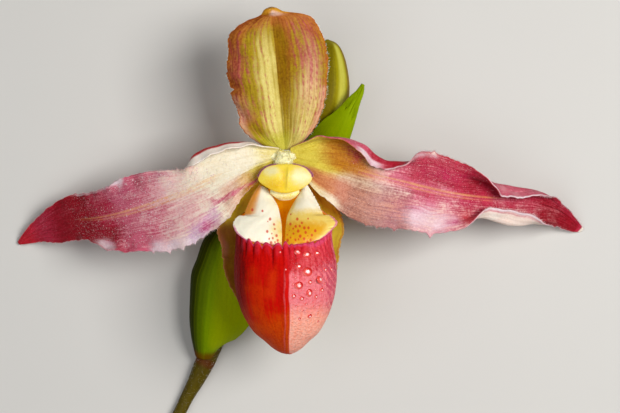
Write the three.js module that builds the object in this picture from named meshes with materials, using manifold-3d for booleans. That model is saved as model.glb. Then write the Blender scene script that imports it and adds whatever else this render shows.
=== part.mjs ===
// Phragmipedium orchid: one open bloom, one bud and a cut length of flower stem, lying on its back.
// Millimetres. The bloom frame has its origin under the column: +X to the bloom's right as seen
// from in front, +Y up the bloom, +Z out of the bloom and off the table that it lies on.

import * as THREE from 'three';
import Module from 'manifold-3d';
import { mergeVertices } from 'three/addons/utils/BufferGeometryUtils.js';

// ---------------------------------------------------------------- sizes

const BLOOM_AT = [-3.8, 19.9, 0];   // bloom frame in the part frame, whose origin is under the middle
const BLADE = 0.7;                  // thickness of a petal, sepal or bract
const LIP_WALL = 0.8;               // thickness of the pouch wall
const LOBE_WALL = 0.8;              // thickness of an infolded lobe
const TOE_Y = -49.5;                // tip of the pouch
const POUCH_TALL = 45;              // from the tip of the pouch to its claw
const TOOTH_PITCH = 12;             // degrees round the pouch from tooth to tooth
const TOOTH_HEIGHT = 0.35;          // half the height of a tooth on the rim

// A blade: its midrib as equally spaced points, and for the half on either side of it the length
// from midrib to margin, the angle at which it leaves the midrib, the angle through which it
// bends towards the front, and where across the half the bend starts. Knots are [place, value],
// place 0 at the base and 1 at the tip.
const PETAL_LEFT = {
  side: 1,
  bend: 0.34,
  midrib: [
    [-1, -0.5, 26.5], [-7.5, -2.3, 27.8], [-14, -4.6, 28.2], [-20.5, -7.3, 27.5],
    [-27, -9.9, 25.5], [-33.9, -12.5, 22], [-41, -14.6, 17.8], [-48.1, -16, 13],
    [-55.3, -16.6, 8.2], [-62.4, -18.4, 3.8], [-68.9, -22.3, 0.4],
  ],
  upper: {
    width: [[0, 2.4], [0.05, 4.6], [0.1, 8], [0.15, 9.9], [0.2, 11.2], [0.25, 12], [0.28, 11.8],
      [0.305, 9.6], [0.33, 5.5], [0.36, 5.6], [0.41, 6.8], [0.48, 8.2], [0.56, 8.6], [0.61, 7.8],
      [0.7, 6.8], [0.78, 6.4], [0.84, 5], [0.9, 3], [0.96, 1.6], [1, 0.5]],
    lean: [[0, 0.1], [1, 0.1]],
    curl: [[0, 0.8], [0.05, 1.5], [0.1, 1.87], [0.15, 2], [0.2, 2.1], [0.25, 2.33], [0.285, 2.4],
      [0.305, 2.1], [0.33, 0.6], [0.4, -0.2], [0.5, -0.3], [0.57, 0.1], [0.63, 0.5], [0.7, 0],
      [1, 0.2]],
    start: [[0, 0.5], [1, 0.5]],
  },
  lower: {
    width: [[0, 1.6], [0.08, 3.6], [0.125, 5], [0.175, 6.4], [0.225, 8.8], [0.275, 10.9],
      [0.35, 12], [0.42, 12.9], [0.5, 12.2], [0.55, 10.8], [0.6, 10.2], [0.66, 9.4], [0.7, 7],
      [0.73, 5.2], [0.8, 5.1], [0.85, 5], [0.9, 3.8], [0.96, 2], [1, 0.5]],
    lean: [[0, 0.2], [0.3, 0.1], [1, 0]],
    curl: [[0, 0], [0.3, 0], [0.5, -0.2], [0.6, 0.7], [0.66, 1.3], [0.7, 1.1], [0.74, 0.3],
      [0.85, 0.1], [1, 0.1]],
    start: [[0, 0.6], [1, 0.6]],
  },
};

const PETAL_RIGHT = {
  side: -1,
  bend: 0.34,
  midrib: [
    [1, -0.5, 26.5], [6.8, -1.8, 27.8], [13.8, -3, 28.5], [20.8, -4.8, 28.2], [27.8, -6.5, 27],
    [34.8, -8.3, 24.8], [41.9, -9.8, 21.6], [49.2, -10.8, 17.6], [56.6, -11.2, 13],
    [64, -12, 8.4], [70.8, -14.3, 4], [76.5, -19, 0.4],
  ],
  upper: {
    width: [[0, 2.4], [0.05, 5.2], [0.1, 9.1], [0.15, 11.1], [0.2, 11.4], [0.24, 10.8],
      [0.28, 8.6], [0.32, 7], [0.35, 7.2], [0.38, 8], [0.41, 8.6], [0.45, 9.2], [0.5, 8.9],
      [0.56, 8.2], [0.6, 9.3], [0.64, 9.4], [0.68, 8.2], [0.75, 6.8], [0.8, 6.4], [0.85, 4],
      [0.9, 2], [0.95, 1.2], [1, 0.5]],
    lean: [[0, 0.1], [1, 0.1]],
    curl: [[0, 0.6], [0.05, 1.2], [0.1, 1.7], [0.15, 1.9], [0.2, 2], [0.225, 2.2], [0.25, 2.55],
      [0.275, 3], [0.3, 2.8], [0.33, 2.35], [0.355, 1.9], [0.38, 1.2], [0.41, 0.2], [0.45, -0.3],
      [0.5, -0.2], [0.56, 0.3], [0.6, 1.3], [0.625, 1.55], [0.65, 1.9], [0.675, 2.4],
      [0.73, 2.4], [0.775, 2.04], [0.81, 1.6], [0.85, 0.5], [0.9, 0.2], [1, 0]],
    start: [[0, 0.5], [0.2, 0.45], [0.4, 0.45], [0.6, 0.32], [0.8, 0.3], [1, 0.4]],
  },
  lower: {
    width: [[0, 1.6], [0.08, 4.6], [0.125, 7.4], [0.175, 9.4], [0.24, 11.4], [0.31, 12.4],
      [0.36, 12], [0.42, 11.2], [0.5, 10.8], [0.56, 9.6], [0.6, 9.3], [0.64, 9], [0.68, 10.2],
      [0.72, 11.6], [0.76, 11.6], [0.8, 9.8], [0.84, 8.6], [0.875, 6], [0.91, 4.4], [0.95, 3.2],
      [0.98, 2], [1, 0.5]],
    lean: [[0, 0.2], [0.3, 0.1], [1, 0.1]],
    curl: [[0, 0], [0.3, -0.1], [0.5, 0.2], [0.56, 0.7], [0.6, 1.5], [0.63, 2.35], [0.7, 2.44],
      [0.75, 2.32], [0.8, 1.92], [0.84, 1.6], [0.875, 0.8], [0.91, 0.3], [1, 0.1]],
    start: [[0, 0.6], [0.5, 0.5], [0.62, 0.4], [1, 0.4]],
  },
};

const DORSAL_LEAN = [[0, 0.55], [0.5, 0.5], [0.85, 0.35], [1, 0.15]];
const DORSAL_CURL = [[0, -0.9], [0.5, -1.15], [0.85, -0.8], [1, -0.2]];
const DORSAL_SEPAL = {
  side: 1,
  bend: 1,
  midrib: [
    [0, 1.5, 25.1], [-0.4, 5.6, 27.2], [-0.8, 10, 28.6], [-1.25, 14.4, 29.3], [-1.7, 18.7, 29.5],
    [-2.1, 23, 29.5], [-2.5, 27.3, 29.4], [-3, 31.7, 29.6], [-3.4, 36.4, 30.8],
  ],
  upper: {
    width: [[0, 1.8], [0.05, 5.1], [0.1, 6.9], [0.2, 9.6], [0.3, 11.6], [0.4, 12.7], [0.5, 13.3],
      [0.6, 13.7], [0.7, 13.5], [0.8, 12.5], [0.85, 11.7], [0.9, 10.5], [0.925, 9.7],
      [0.95, 7.8], [0.97, 3.8], [0.985, 2.4], [1, 0.9]],
    lean: DORSAL_LEAN,
    curl: DORSAL_CURL,
    start: [[0, 0], [1, 0]],
  },
  lower: {
    width: [[0, 1.8], [0.05, 5.6], [0.1, 8.1], [0.2, 11], [0.3, 11.7], [0.4, 12.6], [0.46, 12.6],
      [0.5, 13.1], [0.57, 13.5], [0.65, 13], [0.72, 12.5], [0.8, 12.1], [0.85, 11.5], [0.88, 10],
      [0.91, 8], [0.935, 5.6], [0.95, 3.4], [0.975, 2.3], [1, 0.9]],
    lean: DORSAL_LEAN,
    curl: DORSAL_CURL,
    start: [[0, 0], [1, 0]],
  },
};

const SYNSEPAL = {
  side: 1,
  bend: 0.7,
  midrib: [
    [0, -3.4, 24.8], [0, -8, 22.4], [0.1, -13, 20.7], [0.1, -18, 19.8], [0.2, -23, 19.4],
    [0.2, -28, 19.3], [0.2, -33, 19.4], [0.2, -38, 19.8], [0.3, -42.5, 20.4], [0.3, -46.5, 21.2],
  ],
  upper: {
    width: [[0, 1.8], [0.06, 6], [0.125, 12], [0.2, 16.2], [0.3, 18], [0.36, 17.8], [0.42, 17],
      [0.55, 16.3], [0.65, 15.1], [0.7, 13.8], [0.8, 10.6], [0.9, 7.2], [0.95, 4.7], [1, 0.8]],
    lean: [[0, 0], [1, 0]],
    curl: [[0, 0.2], [0.5, 0.5], [1, 0.3]],
    start: [[0, 0.2], [1, 0.2]],
  },
  lower: {
    width: [[0, 1.8], [0.06, 5], [0.15, 10.8], [0.2, 13], [0.3, 14.9], [0.35, 15.2],
      [0.42, 14.3], [0.55, 13.5], [0.65, 12.3], [0.72, 10.7], [0.8, 8.4], [0.9, 5.1],
      [0.95, 3], [1, 0.7]],
    lean: [[0, 0], [1, 0]],
    curl: [[0, 0.2], [0.5, 0.5], [1, 0.3]],
    start: [[0, 0.2], [1, 0.2]],
  },
};

const LOWER_BRACT = {
  side: -1,
  bend: 0.9,
  midrib: [
    [-20.2, -50.6, 6.2], [-20.3, -46.5, 10], [-20, -42, 12.3], [-19.4, -37, 13.8],
    [-18.6, -31.8, 14.8], [-17.3, -26.5, 15.1], [-15.7, -21.5, 15], [-14, -16.8, 14.4],
    [-12, -12.5, 13.6],
  ],
  upper: {
    width: [[0, 6.2], [0.1, 6.6], [0.2, 7.6], [0.3, 8.6], [0.4, 9.2], [0.5, 9.6], [0.6, 8.2],
      [0.7, 7.4], [0.8, 5], [0.9, 2.6], [1, 0.6]],
    lean: [[0, 0], [1, 0]],
    curl: [[0, -1.57], [0.3, -1.6], [0.5, -1.5], [1, -1]],
    start: [[0, 0], [1, 0]],
  },
  lower: {
    width: [[0, 4.6], [0.05, 6.8], [0.1, 8], [0.2, 10], [0.3, 11.4], [0.4, 10.9], [0.5, 9.6], [0.6, 7.7],
      [0.7, 5.7], [0.8, 3.8], [0.9, 2], [1, 0.6]],
    lean: [[0, 0], [0.2, 0.1], [1, 0.1]],
    curl: [[0, -1.3], [0.05, -0.8], [0.1, -0.4], [0.3, -0.3], [1, -0.2]],
    start: [[0, 0], [1, 0]],
  },
};

const UPPER_BRACT = {
  side: -1,
  bend: 0.9,
  midrib: [
    [8.2, -5.3, 4.9], [9.7, -2.2, 7.4], [11.5, 1.2, 10], [13.3, 4.8, 12.4], [15, 8.4, 13.8],
    [16.8, 12.1, 14.2], [18.4, 15.4, 13.8], [19.7, 18.1, 12.8],
  ],
  upper: {
    width: [[0, 4.6], [0.2, 7.4], [0.3, 6.9], [0.4, 6.3], [0.5, 5.4], [0.6, 3.8], [0.7, 2.6],
      [0.8, 1.8], [0.9, 0.8], [1, 0.4]],
    lean: [[0, -0.05], [1, -0.05]],
    curl: [[0, -1.2], [0.2, -0.6], [0.4, -0.5], [0.6, -0.4], [1, -0.2]],
    start: [[0, 0], [1, 0]],
  },
  lower: {
    width: [[0, 4.6], [0.2, 4.4], [0.4, 3.9], [0.5, 3.4], [0.6, 2.8], [0.7, 2.1], [0.8, 1.5],
      [0.9, 1.2], [1, 0.4]],
    lean: [[0, -0.1], [1, -0.1]],
    curl: [[0, -1.3], [0.4, -1], [0.6, -0.8], [1, -0.4]],
    start: [[0, 0], [1, 0]],
  },
};

// The pouch by level: 0 at its toe, 1 at its claw, the height above the toe rising as its square.
const POUCH = {
  half: [[0, 0], [0.07, 1.4], [0.18, 3.6], [0.27, 5.6], [0.338, 7.8], [0.416, 9.6], [0.5, 11.2],
    [0.585, 12.3], [0.66, 12.75], [0.71, 12.7], [0.77, 12.15], [0.815, 11.9], [0.855, 12.3],
    [0.875, 11.2], [0.907, 8.7], [0.937, 7.5], [0.966, 6.2], [1, 4]],
  axis: [[0, 0.8], [0.3, 0.5], [0.5, 0.2], [0.7, 0.15], [0.8, -0.2], [1, 0]],
  middle: [[0, 30], [0.5, 31], [0.74, 31.5], [0.85, 33], [0.9, 30.6], [0.95, 29], [1, 28]],
  front: [[0, 30], [0.18, 33.6], [0.32, 37], [0.46, 40.4], [0.57, 42.3], [0.66, 43],
    [0.74, 42.4], [0.8, 41], [0.85, 39.5], [1, 34]],
  back: [[0, 30], [0.18, 26.4], [0.28, 24.2], [0.41, 22.4], [0.57, 21.4], [0.74, 21.1],
    [0.85, 21.6], [0.93, 23.4], [1, 26]],
  // rim height by degrees round the pouch: -90 at the back, 0 at the right, 90 in front
  rim: [[-90, -5.3], [-45, -9], [-20, -14], [0, -17], [16, -18.9], [30, -20.4], [50, -21.6],
    [90, -22.2], [130, -21.6], [150, -20.4], [164, -18.9], [180, -17], [200, -14], [225, -9],
    [270, -5.3]],
};

// Each lobe folds in from the side of the pouch: its outer edge runs along the rim and its inner
// edge along the slit, both from the top down.
const LOBE_LEFT = {
  outer: [[-6.3, -7.6, 28], [-7.8, -9.9, 29.3], [-9.1, -12.6, 31], [-10.2, -15.2, 33],
    [-12.3, -16.4, 34.5], [-12.4, -18.7, 36.5], [-11, -21.9, 38.4]],
  inner: [[-4.3, -8.9, 27.5], [-2.8, -11.2, 28.8], [-1.8, -13, 31], [-1.2, -15.3, 33],
    [-0.8, -17.5, 35], [-0.7, -19.7, 37], [-0.7, -22.6, 38.4]],
};
const LOBE_RIGHT = {
  outer: [[5.4, -7.6, 28], [6.7, -9.8, 29.3], [7.9, -12.2, 31], [9.3, -14.5, 33],
    [11.4, -15.3, 34.5], [12.8, -17.1, 36.5], [11.7, -21.1, 38.4]],
  inner: [[4.2, -8.9, 27.5], [2.9, -11.1, 28.8], [1.7, -13.1, 31], [0.7, -15.3, 33],
    [0.3, -17.6, 35], [0.1, -20.2, 37], [0.1, -22.8, 38.4]],
};
const LOBE_SWELL = 1.8;             // how far a lobe bulges to the front between its edges

// The staminode's outline round its middle, and the heights of its two faces.
const STAMINODE = {
  centre: [0, -5.8, 31.6],
  outline: [[-6.8, -5.8], [-6.3, -4.9], [-5.4, -4], [-4.2, -2.9], [-2.7, -2.4], [-1.4, -2.5],
    [0, -2.8], [1.5, -2.5], [3, -2.4], [4.9, -3.2], [6, -4.1], [6.6, -5], [6.9, -6.1],
    [5.7, -7.4], [4.1, -8.6], [2.8, -9.1], [0.8, -9.4], [-0.9, -9.8], [-2.7, -9.4], [-4.2, -8.7],
    [-5.6, -7.8], [-6.4, -6.8]],
  rise: 1.9,
  hollow: 0.9,
  edge: 0.7,
};

// Round organs: equally spaced points of the axis, with the radius at each.
const STEM = {
  axis: [[-32.2, -75.5, 1.8], [-29.9, -71, 1.65], [-27.6, -66.5, 1.6], [-25.4, -62, 1.7],
    [-23, -57.5, 2.1], [-20.8, -53, 2.5], [-18.6, -49, 2.2], [-15.4, -43.5, 1.7],
    [-11.8, -37, 1.6], [-8.2, -30.4, 1.6], [-4.5, -23.8, 1.6], [-0.9, -17.2, 1.6],
    [2.8, -10.6, 1.6], [6.5, -4.4, 1.5], [8.6, -1.6, 1.7]],
  radius: [1.8, 1.65, 1.6, 1.7, 2.1, 2.5, 2.2, 1.7, 1.6, 1.6, 1.6, 1.6, 1.6, 1.5, 1.4],
};
const OVARY = {
  axis: [[-17.4, -46.8, 6.1], [-14.4, -43.6, 7.2], [-11, -40, 8.5], [-8, -34, 10],
    [-5.5, -28, 11.5], [-3.6, -22, 13], [-2, -16, 14.6], [-0.9, -10.5, 16.2], [-0.2, -5.5, 18.8],
    [0, -2.1, 22.1], [0, -0.7, 25.4]],
  radius: [1.35, 1.5, 1.65, 1.8, 2, 2.2, 2.4, 2.4, 2.3, 2, 1.8],
};
const BUD = {
  axis: [[8.4, 4.75, 5.4], [8.9, 7.8, 5.8], [9.5, 11, 6], [10.1, 14.6, 6.1], [10.6, 18.4, 6.1],
    [10.9, 22, 6], [11, 25.6, 6], [10.8, 28.4, 6.1], [10.6, 29.9, 6.3]],
  radius: [1.8, 3.6, 5, 5.8, 5.7, 5, 3.9, 2.5, 0.3],
};
const BUD_OVARY = {
  axis: [[8.5, -1, 4.9], [8.45, 0.6, 5.1], [8.4, 2.4, 5.2], [8.4, 4.1, 5.3]],
  radius: [1.3, 1.6, 1.8, 1.7],
};
const COLUMN = {
  axis: [[-0.3, 0.3, 27.9], [-0.3, -2.2, 28.9], [-0.2, -4.8, 29.4], [-0.1, -7.4, 29.4],
    [0, -9.6, 29], [0, -11.2, 28.4]],
  radius: [1.3, 2.3, 2.9, 3.2, 3.3, 1.2],
  flat: 0.42,                       // thickness of the column against its width
};
const ANTHER = { across: 4.55, at: [-5.7, 29.8], radius: [1.1, 1.4, 0.8] };

const RIBS = 5;                     // ribs round the ovary and round the bud
const RIB_DEPTH = 0.04;             // depth of a rib against the radius

// ---------------------------------------------------------------- curves

const wasm = await Module();
wasm.setup();

// Smooth value through knots that never swings past them.
function profile(knots) {
  const n = knots.length;
  const x = knots.map((k) => k[0]);
  const y = knots.map((k) => k[1]);
  const d = [];
  for (let i = 0; i < n - 1; i += 1) {
    d.push((y[i + 1] - y[i]) / (x[i + 1] - x[i]));
  }
  const m = new Array(n).fill(0);
  m[0] = d[0];
  m[n - 1] = d[n - 2];
  for (let i = 1; i < n - 1; i += 1) {
    if (d[i - 1] * d[i] > 0) {
      const w1 = 2 * (x[i + 1] - x[i]) + (x[i] - x[i - 1]);
      const w2 = (x[i + 1] - x[i]) + 2 * (x[i] - x[i - 1]);
      m[i] = (w1 + w2) / (w1 / d[i - 1] + w2 / d[i]);
    }
  }
  return (t) => {
    let i = 0;
    while (i < n - 2 && t > x[i + 1]) {
      i += 1;
    }
    const h = x[i + 1] - x[i];
    const s = (t - x[i]) / h;
    return (1 + 2 * s) * (1 - s) ** 2 * y[i] + s * (1 - s) ** 2 * h * m[i]
      + s * s * (3 - 2 * s) * y[i + 1] + s * s * (s - 1) * h * m[i + 1];
  };
}

function curve(points) {
  const vectors = points.map((p) => new THREE.Vector3(...p));
  return new THREE.CatmullRomCurve3(vectors, false, 'catmullrom', 0.5);
}

function along(line, u) {
  const step = 0.001;
  const before = line.getPoint(Math.max(u - step, 0));
  const after = line.getPoint(Math.min(u + step, 1));
  return after.sub(before).normalize();
}

function smooth(t) {
  const s = Math.min(Math.max(t, 0), 1);
  return s * s * (3 - 2 * s);
}

// ---------------------------------------------------------------- solids

// Normals of a grid of points, from its neighbours along and across.
function gridNormals(grid, wraps) {
  const rows = grid.length;
  const cols = grid[0].length;
  return grid.map((row, i) => row.map((_, j) => {
    const a = grid[Math.max(i - 1, 0)][j];
    const b = grid[Math.min(i + 1, rows - 1)][j];
    const left = wraps ? (j + cols - 1) % cols : Math.max(j - 1, 0);
    const right = wraps ? (j + 1) % cols : Math.min(j + 1, cols - 1);
    const along1 = b.clone().sub(a);
    const across = row[right].clone().sub(row[left]);
    return along1.cross(across).normalize();
  }));
}

function toGeometry(points, triangles) {
  const geometry = new THREE.BufferGeometry();
  const flat = points.flatMap((p) => [p.x, p.y, p.z]);
  geometry.setAttribute('position', new THREE.Float32BufferAttribute(flat, 3));
  geometry.setIndex(triangles);
  return geometry;
}

function asDrawn(geometry) {
  geometry.computeVertexNormals();
  return geometry;
}

// A closed plate between two grids of the same shape, with both faces split alike.
function plate(front, back) {
  const rows = front.length;
  const cols = front[0].length;
  const points = [...front.flat(), ...back.flat()];
  const far = rows * cols;
  const triangles = [];
  const quad = (a, b, c, d) => triangles.push(a, b, c, a, c, d);
  for (let i = 0; i < rows - 1; i += 1) {
    for (let j = 0; j < cols - 1; j += 1) {
      const a = i * cols + j;
      const b = a + cols;
      quad(a, b, b + 1, a + 1);
      triangles.push(far + a, far + b + 1, far + b);
      triangles.push(far + a, far + a + 1, far + b + 1);
    }
  }
  for (let i = 0; i < rows - 1; i += 1) {
    const a = i * cols;
    const b = a + cols;
    quad(a, far + a, far + b, b);
    const c = a + cols - 1;
    const e = b + cols - 1;
    quad(c, e, far + e, far + c);
  }
  for (let j = 0; j < cols - 1; j += 1) {
    quad(j, j + 1, far + j + 1, far + j);
    const a = far - cols + j;
    quad(a, far + a, far + a + 1, a + 1);
  }
  return toGeometry(points, triangles);
}

function thicken(grid, thickness) {
  const normals = gridNormals(grid, false);
  const front = grid.map((row, i) => row.map((p, j) => (
    p.clone().addScaledVector(normals[i][j], thickness / 2))));
  const back = grid.map((row, i) => row.map((p, j) => (
    p.clone().addScaledVector(normals[i][j], -thickness / 2))));
  return [front, back];
}

// Points of one half of a blade at one place: out from the midrib along the blade's cross
// direction, bending towards the front from where the bend starts.
function halfRow(blade, half, sign, origin, cross, out, u, cells) {
  const width = half.width(u);
  const lean = half.lean(u);
  const curl = half.curl(u);
  const start = half.start(u);
  const fine = 24 * cells;
  const row = [origin.clone()];
  let reach = 0;
  let lift = 0;
  for (let k = 1; k <= fine; k += 1) {
    const angle = lean + curl * smooth(((k - 0.5) / fine - start) / blade.bend);
    reach += (Math.cos(angle) * width) / fine;
    lift += (Math.sin(angle) * width) / fine;
    if (k % 24 === 0) {
      const p = origin.clone().addScaledVector(cross, sign * reach);
      row.push(p.addScaledVector(out, lift));
    }
  }
  return row;
}

function bladeGrid(blade, rows, cells) {
  const midrib = curve(blade.midrib);
  const prepare = (half) => ({
    width: profile(half.width),
    lean: profile(half.lean),
    curl: profile(half.curl),
    start: profile(half.start),
  });
  const upper = prepare(blade.upper);
  const lower = prepare(blade.lower);
  const grid = [];
  for (let i = 0; i <= rows; i += 1) {
    const u = i / rows;
    const origin = midrib.getPoint(u);
    const tangent = along(midrib, u);
    const out = new THREE.Vector3(0, 0, 1);
    out.addScaledVector(tangent, -out.dot(tangent)).normalize();
    const cross = tangent.clone().cross(out).multiplyScalar(blade.side);
    const low = halfRow(blade, lower, -1, origin, cross, out, u, cells);
    const high = halfRow(blade, upper, 1, origin, cross, out, u, cells);
    const row = [...low.reverse(), ...high.slice(1)];
    if (blade.side < 0) {
      row.reverse();
    }
    grid.push(row);
  }
  return grid;
}

function bladeSolid(blade, rows, cells, thickness = BLADE) {
  const grid = bladeGrid(blade, rows, cells);
  const [back, front] = thicken(grid, thickness);
  return plate(back, front);
}

// A closed round organ along an axis, with the radius of each ring and soft ribs round it.
function roundSolid(organ, rows, sides, options = {}) {
  const { flat = 1, ribs = 0, restsOnTable = false } = options;
  const axis = curve(organ.axis);
  const radii = curve(organ.radius.map((r) => [r, 0, 0]));
  const points = [];
  for (let i = 0; i <= rows; i += 1) {
    const u = i / rows;
    const centre = axis.getPoint(u);
    const radius = radii.getPoint(u).x;
    const tangent = along(axis, u);
    const wide = tangent.clone().cross(new THREE.Vector3(0, 0, 1)).normalize();
    const deep = wide.clone().cross(tangent);
    for (let j = 0; j < sides; j += 1) {
      const angle = (2 * Math.PI * (j + 0.5)) / sides;
      const rib = 1 + ribs * Math.cos(RIBS * angle);
      const p = centre.clone().addScaledVector(wide, radius * rib * Math.cos(angle));
      p.addScaledVector(deep, flat * radius * rib * Math.sin(angle));
      const underside = Math.sin(angle) < -0.95;
      if (restsOnTable && underside) {
        p.z = 0;
      }
      points.push(p);
    }
  }
  const first = points.length;
  points.push(axis.getPoint(0), axis.getPoint(1));
  const triangles = [];
  for (let i = 0; i < rows; i += 1) {
    for (let j = 0; j < sides; j += 1) {
      const a = i * sides + j;
      const b = i * sides + ((j + 1) % sides);
      triangles.push(a, b + sides, b, a, a + sides, b + sides);
    }
  }
  for (let j = 0; j < sides; j += 1) {
    const next = (j + 1) % sides;
    triangles.push(first, j, next);
    triangles.push(first + 1, rows * sides + next, rows * sides + j);
  }
  return toGeometry(points, triangles);
}

// ---------------------------------------------------------------- pouch

function pouchPoint(shape, degrees, share) {
  const angle = (degrees * Math.PI) / 180;
  const c = Math.cos(angle);
  const s = Math.sin(angle);
  const toothed = degrees > 24 && degrees < 156;
  const tooth = toothed ? TOOTH_HEIGHT * Math.cos((2 * Math.PI * degrees) / TOOTH_PITCH) : 0;
  const top = shape.rim(degrees) + tooth;
  const level = share * Math.sqrt((top - TOE_Y) / POUCH_TALL);
  const half = shape.half(level);
  const middle = shape.middle(level);
  const x = shape.axis(level) + half * c;
  const y = TOE_Y + POUCH_TALL * level * level;
  if (s < 0) {
    return new THREE.Vector3(x, y, middle - (middle - shape.back(level)) * (-s) ** 0.8);
  }
  const keel = 0.9 * Math.exp(-Math.abs(half * c) / 2.6) * (1 - smooth((level - 0.55) / 0.3));
  const z = middle + (shape.front(level) - middle) * s ** 0.92;
  return new THREE.Vector3(x, y, s > 0.001 ? z + keel : z);
}

function pouchSolid(sides, rows) {
  const shape = Object.fromEntries(Object.entries(POUCH).map(([k, v]) => [k, profile(v)]));
  const outer = [];
  for (let i = 0; i <= rows; i += 1) {
    const ring = [];
    for (let j = 0; j < sides; j += 1) {
      ring.push(pouchPoint(shape, -90 + (360 * j) / sides, Math.max(i / rows, 0.001)));
    }
    outer.push(ring);
  }
  const normals = gridNormals(outer, true);
  const inner = outer.map((ring, i) => ring.map((p, j) => (
    p.clone().addScaledVector(normals[i][j], -LIP_WALL))));
  const toe = outer[0][0].clone();
  const points = [toe, ...outer.slice(1).flat()];
  const far = points.length;
  points.push(toe.clone().add(new THREE.Vector3(0, LIP_WALL * 1.6, 0)), ...inner.slice(1).flat());
  const triangles = [];
  const at = (i, j) => 1 + (i - 1) * sides + (j % sides);
  for (let j = 0; j < sides; j += 1) {
    triangles.push(0, at(1, j), at(1, j + 1));
    triangles.push(far, far + at(1, j + 1), far + at(1, j));
  }
  for (let i = 1; i < rows; i += 1) {
    for (let j = 0; j < sides; j += 1) {
      const a = at(i, j);
      const b = at(i, j + 1);
      const c = at(i + 1, j + 1);
      const d = at(i + 1, j);
      triangles.push(a, c, b, a, d, c);
      triangles.push(far + a, far + b, far + c, far + a, far + c, far + d);
    }
  }
  for (let j = 0; j < sides; j += 1) {
    const a = at(rows, j);
    const b = at(rows, j + 1);
    triangles.push(a, far + b, b, a, far + a, far + b);
  }
  return toGeometry(points, triangles);
}

function lobeSolid(lobe, rows, cells) {
  const outer = curve(lobe.outer);
  const inner = curve(lobe.inner);
  const grid = [];
  for (let i = 0; i <= rows; i += 1) {
    const s = i / rows;
    const row = [];
    const bulge = LOBE_SWELL * Math.sin(Math.PI * (0.1 + 0.9 * s)) ** 0.6;
    for (let j = 0; j <= cells; j += 1) {
      const t = j / cells;
      const p = outer.getPoint(s).lerp(inner.getPoint(s), t);
      p.z += bulge * Math.sin(Math.PI * t);
      row.push(p);
    }
    grid.push(row);
  }
  if (lobe.outer[0][0] > 0) {
    grid.forEach((row) => row.reverse());
  }
  const [one, other] = thicken(grid, LOBE_WALL);
  return plate(one, other);
}

function toManifold(geometry) {
  const bare = geometry.clone();
  bare.deleteAttribute('normal');
  bare.deleteAttribute('uv');
  const merged = mergeVertices(bare, 1e-5);
  return new wasm.Manifold(new wasm.Mesh({
    numProp: 3,
    vertProperties: new Float32Array(merged.attributes.position.array),
    triVerts: new Uint32Array(merged.index.array),
  }));
}

function fromManifold(solid) {
  const mesh = solid.getMesh();
  const geometry = new THREE.BufferGeometry();
  const positions = new Float32Array(mesh.vertProperties);
  geometry.setAttribute('position', new THREE.BufferAttribute(positions, 3));
  geometry.setIndex([...mesh.triVerts]);
  return geometry;
}

function lipSolid() {
  const pouch = toManifold(pouchSolid(60, 11));
  const left = toManifold(lobeSolid(LOBE_LEFT, 10, 6));
  const right = toManifold(lobeSolid(LOBE_RIGHT, 10, 6));
  return fromManifold(pouch.add(left).add(right));
}

// ---------------------------------------------------------------- centre of the bloom

// The staminode is a shield: a domed front face over a hollow back, thin at its edge.
function staminodeSolid(around, rings) {
  const { centre, outline, rise, hollow, edge } = STAMINODE;
  const border = new THREE.CatmullRomCurve3(
    outline.map(([x, y]) => new THREE.Vector3(x, y, centre[2])), true, 'catmullrom', 0.5);
  const middle = new THREE.Vector3(...centre);
  const points = [];
  const face = (height, drop) => {
    points.push(new THREE.Vector3(middle.x, middle.y, middle.z + height - drop));
    for (let i = 1; i <= rings; i += 1) {
      const share = i / rings;
      for (let j = 0; j < around; j += 1) {
        const p = middle.clone().lerp(border.getPoint(j / around), share);
        p.z += height * (1 - share * share) - drop;
        points.push(p);
      }
    }
  };
  face(rise, 0);
  const far = points.length;
  face(hollow, edge);
  const triangles = [];
  const at = (i, j) => 1 + (i - 1) * around + (j % around);
  for (let j = 0; j < around; j += 1) {
    triangles.push(0, at(1, j + 1), at(1, j));
    triangles.push(far, far + at(1, j), far + at(1, j + 1));
    for (let i = 1; i < rings; i += 1) {
      const a = at(i, j);
      const b = at(i, j + 1);
      const c = at(i + 1, j + 1);
      const d = at(i + 1, j);
      triangles.push(a, b, c, a, c, d);
      triangles.push(far + a, far + c, far + b, far + a, far + d, far + c);
    }
    const a = at(rings, j);
    const b = at(rings, j + 1);
    triangles.push(a, b, far + b, a, far + b, far + a);
  }
  return toGeometry(points, triangles);
}

function antherSolid(sign) {
  const ball = new THREE.SphereGeometry(1, 12, 8);
  ball.scale(...ANTHER.radius);
  ball.translate(sign * ANTHER.across, ...ANTHER.at);
  return ball;
}

// ---------------------------------------------------------------- the plant

function finish(color, roughness) {
  return new THREE.MeshStandardMaterial({ color, roughness, metalness: 0 });
}

function organ(name, geometry, material) {
  const mesh = new THREE.Mesh(asDrawn(geometry), material);
  mesh.name = name;
  return mesh;
}

const petalFinish = finish('#c8627c', 0.5);
const sepalFinish = finish('#c98a4c', 0.55);
const synsepalFinish = finish('#a08a2c', 0.55);
const lipFinish = finish('#d8262a', 0.32);
const columnFinish = finish('#e6dfa0', 0.5);
const staminodeFinish = finish('#e9cf3a', 0.42);
const antherFinish = finish('#d8b840', 0.6);
const greenFinish = finish('#6f9412', 0.5);
const budFinish = finish('#9ca528', 0.5);
const stemFinish = finish('#6a5a1c', 0.6);
const ovaryFinish = finish('#8a8432', 0.6);

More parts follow.
